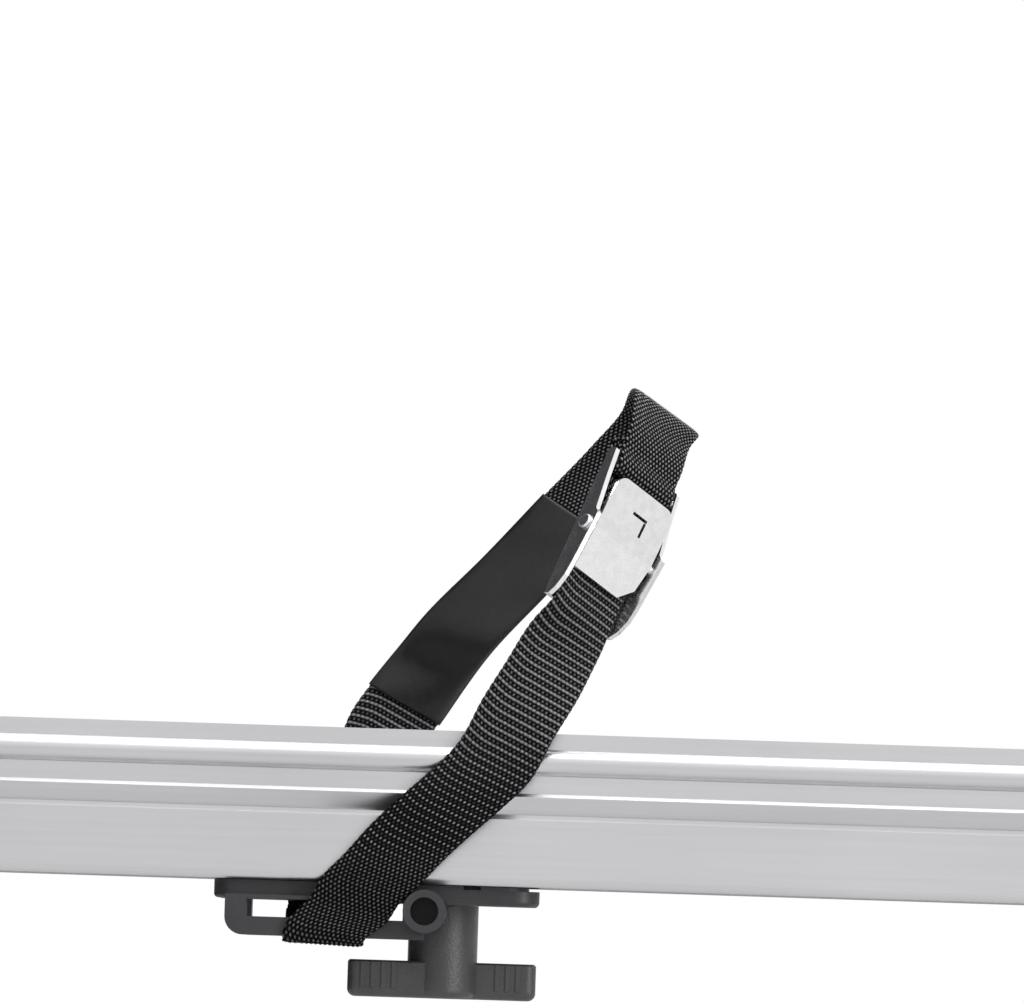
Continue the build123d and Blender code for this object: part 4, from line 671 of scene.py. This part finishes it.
def tube_mesh(name, surface):
    """A mesh from a grid of points that closes on itself both ways; its last ring is its first."""
    rings, columns = surface.shape[0] - 1, surface.shape[1]
    ring, column = np.meshgrid(np.arange(rings), np.arange(columns), indexing="ij")
    beside = (column + 1) % columns
    after = (ring + 1) % rings
    quads = np.stack((ring * columns + column, after * columns + column, after * columns + beside,
                      ring * columns + beside), axis=-1).reshape(-1, 4)
    mesh = bpy.data.meshes.new(name)
    mesh.from_pydata(surface[:-1].reshape(-1, 3).tolist(), [], quads.tolist())
    mesh.polygons.foreach_set("use_smooth", np.ones(len(quads), dtype=bool))
    mesh.update()
    piece = bpy.data.objects.new(name, mesh)
    bpy.context.scene.collection.objects.link(piece)
    return piece


def soft_vinyl():
    """Plasticised vinyl: black and softly glossy, with a shallow grain 3 mm across."""
    material, tree, surface, place = new_finish("soft_vinyl", IOR=1.52, Roughness=0.38)
    grain = add_node(tree, "ShaderNodeTexNoise", values={"Scale": per_metre(3.0), "Detail": 4.0},
                     links={"Vector": place.outputs["Object"]})
    tone = add_node(tree, "ShaderNodeValToRGB", links={"Fac": grain.outputs["Fac"]})
    tone.color_ramp.elements[0].color = linear("#0F0F11")
    tone.color_ramp.elements[1].color = linear("#1E1E21")
    bump = add_node(tree, "ShaderNodeBump", values={"Strength": 0.3, "Distance": 0.0004},
                    links={"Height": grain.outputs["Fac"]})
    tree.links.new(tone.outputs["Color"], surface.inputs["Base Color"])
    tree.links.new(bump.outputs["Normal"], surface.inputs["Normal"])
    return material


vinyl = soft_vinyl()
sleeve_grid = sleeve_surface()
for holder in holders:
    sleeve = tube_mesh(f"{holder}_rim_sleeve", stand(sleeve_grid, holder))
    sleeve.data.materials.append(vinyl)
    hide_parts(f"{holder}_sleeve")
    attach(sleeve, f"{holder}_holder")

# Studio floor: plain and pale, and low enough that the arms clear it when the carrier is tilted and
# folded. A little glow makes it paler to the camera and in metal, and it keeps the shadow.
floor_z = -0.54
floor_width = 60.0
floor_glow = 0.45
bpy.ops.mesh.primitive_plane_add(size=floor_width, location=(0, 0, floor_z))
floor = bpy.context.object
floor.name = "floor"
floor_paint, floor_tree, floor_surface, _ = new_finish("pale_floor", Roughness=1.0,
                                                       Specular_IOR_Level=0.0)
floor_surface.inputs["Base Color"].default_value = linear("#B0B0B0")
floor_surface.inputs["Emission Color"].default_value = linear("#FFFFFF")
floor_rays = add_node(floor_tree, "ShaderNodeLightPath")
floor_seen = add_node(floor_tree, "ShaderNodeMath", settings={"operation": "MAXIMUM"},
                      links={0: floor_rays.outputs["Is Camera Ray"],
                             1: floor_rays.outputs["Is Glossy Ray"]})
floor_level = add_node(floor_tree, "ShaderNodeMapRange", values={"To Max": floor_glow},
                       links={"Value": floor_seen.outputs[0]})
floor_tree.links.new(floor_level.outputs["Result"], floor_surface.inputs["Emission Strength"])
floor.data.materials.append(floor_paint)

# Surroundings: white, a little dimmer towards the floor. The camera sees them plain white, and
# metal sees them with one dark flag to the left, as a photographer sets it to give bright steel
# its edges. They light the object at a lower level.
light_level = 0.6
flag_direction = (-0.74, 0.46, 0.48)
world = bpy.data.worlds.new("studio")
bpy.context.scene.world = world
world.use_nodes = True
sky = world.node_tree
sky.nodes.clear()
rays = add_node(sky, "ShaderNodeLightPath")
seen = add_node(sky, "ShaderNodeMath", settings={"operation": "MAXIMUM"},
                links={0: rays.outputs["Is Camera Ray"], 1: rays.outputs["Is Transmission Ray"]})
direction = add_node(sky, "ShaderNodeTexCoord")
height = add_node(sky, "ShaderNodeSeparateXYZ", links={"Vector": direction.outputs["Generated"]})
fade = add_node(sky, "ShaderNodeValToRGB", links={"Fac": height.outputs["Z"]})
fade.color_ramp.elements[0].position = 0.0
fade.color_ramp.elements[0].color = linear("#F0F0F1")
fade.color_ramp.elements[1].position = 0.7
fade.color_ramp.elements[1].color = linear("#FFFFFF")
flag_way = add_node(sky, "ShaderNodeVectorMath", settings={"operation": "DOT_PRODUCT"},
                    values={1: flag_direction}, links={0: direction.outputs["Generated"]})
flag = add_node(sky, "ShaderNodeMapRange", settings={"interpolation_type": "SMOOTHSTEP"},
                values={"From Min": 0.7, "From Max": 0.92},
                links={"Value": flag_way.outputs["Value"]})
flagged = add_node(sky, "ShaderNodeMix", settings={"data_type": "RGBA"},
                   values={7: linear("#3C3C3E")},
                   links={0: flag.outputs["Result"], 6: fade.outputs["Color"]})
backdrop = add_node(sky, "ShaderNodeMix", settings={"data_type": "RGBA"},
                    values={7: linear("#FFFFFF")},
                    links={0: seen.outputs[0], 6: flagged.outputs[2]})
mirrored = add_node(sky, "ShaderNodeMath", settings={"operation": "MAXIMUM"},
                    links={0: seen.outputs[0], 1: rays.outputs["Is Glossy Ray"]})
level = add_node(sky, "ShaderNodeMapRange", values={"To Min": light_level, "To Max": 1.0},
                 links={"Value": mirrored.outputs[0]})
ambient = add_node(sky, "ShaderNodeBackground", links={"Color": backdrop.outputs[2],
                                                       "Strength": level.outputs["Result"]})
add_node(sky, "ShaderNodeOutputWorld", links={"Surface": ambient.outputs["Background"]})

# Lamps: four large soft ones, above, to the front right and behind, where neither the rail's flat
# faces nor the buckle's lever mirrors one of them to the camera.


def soft_lamp(name, place, aim, size, watts):
    """A square area lamp at a place, turned to face the point that it is aimed at."""
    lamp = bpy.data.lights.new(name, "AREA")
    lamp.size = size
    lamp.energy = watts
    piece = bpy.data.objects.new(name, lamp)
    piece.location = place
    piece.rotation_euler = (Vector(aim) - Vector(place)).to_track_quat("-Z", "Y").to_euler()
    bpy.context.scene.collection.objects.link(piece)


soft_lamp("key_lamp", (0.45, -0.95, 2.7), (0.4, -0.3, 0.2), 1.3, 26.0)
soft_lamp("top_lamp", (0.2, 0.4, 2.7), (0.2, 0.3, 0.2), 2.0, 8.0)
soft_lamp("side_lamp", (2.6, -2.3, 0.6), (0.4, -0.3, 0.1), 1.2, 34.0)
soft_lamp("rear_lamp", (1.4, 2.8, 1.5), (0.0, 0.2, 0.2), 1.8, 12.0)

# Camera: a long lens square to the near rail, tilted up a little and rolled as the photograph is,
# so that the knob's axis meets the rail's underside at its place in the picture.
picture_width, picture_height = 1024, 1002
focal_px = 10000.0
px_per_mm = 4.0
anchor_px = (444.7, 885.8)
eye_level_px = 950.0
camera_roll = radians(1.85)
sensor_width = 36.0

knob_low, knob_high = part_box("near_right_knob")
anchor = Vector(((knob_low[0] + knob_high[0]) / 2, (knob_low[1] + knob_high[1]) / 2,
                 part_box("rail_near")[0][2]))
pitch = atan((eye_level_px - picture_height / 2) / focal_px)
forward = Vector((0.0, cos(pitch), sin(pitch)))
level_right = Vector((1.0, 0.0, 0.0))
level_up = level_right.cross(forward)
right = level_right * cos(camera_roll) + level_up * sin(camera_roll)
up = level_up * cos(camera_roll) - level_right * sin(camera_roll)
metres_per_px = millimetre / px_per_mm
offset = (right * (anchor_px[0] - picture_width / 2) - up * (anchor_px[1] - picture_height / 2)
          + forward * focal_px) * metres_per_px
lens = bpy.data.cameras.new("camera")
lens.sensor_fit = "HORIZONTAL"
lens.sensor_width = sensor_width
lens.lens = focal_px / picture_width * sensor_width
camera = bpy.data.objects.new("camera", lens)
turn_to_view = Matrix((right, up, -forward)).transposed().to_4x4()
camera.matrix_world = Matrix.Translation(anchor - offset) @ turn_to_view
bpy.context.scene.collection.objects.link(camera)
bpy.context.scene.camera = camera
bpy.context.scene.view_settings.view_transform = "Standard"
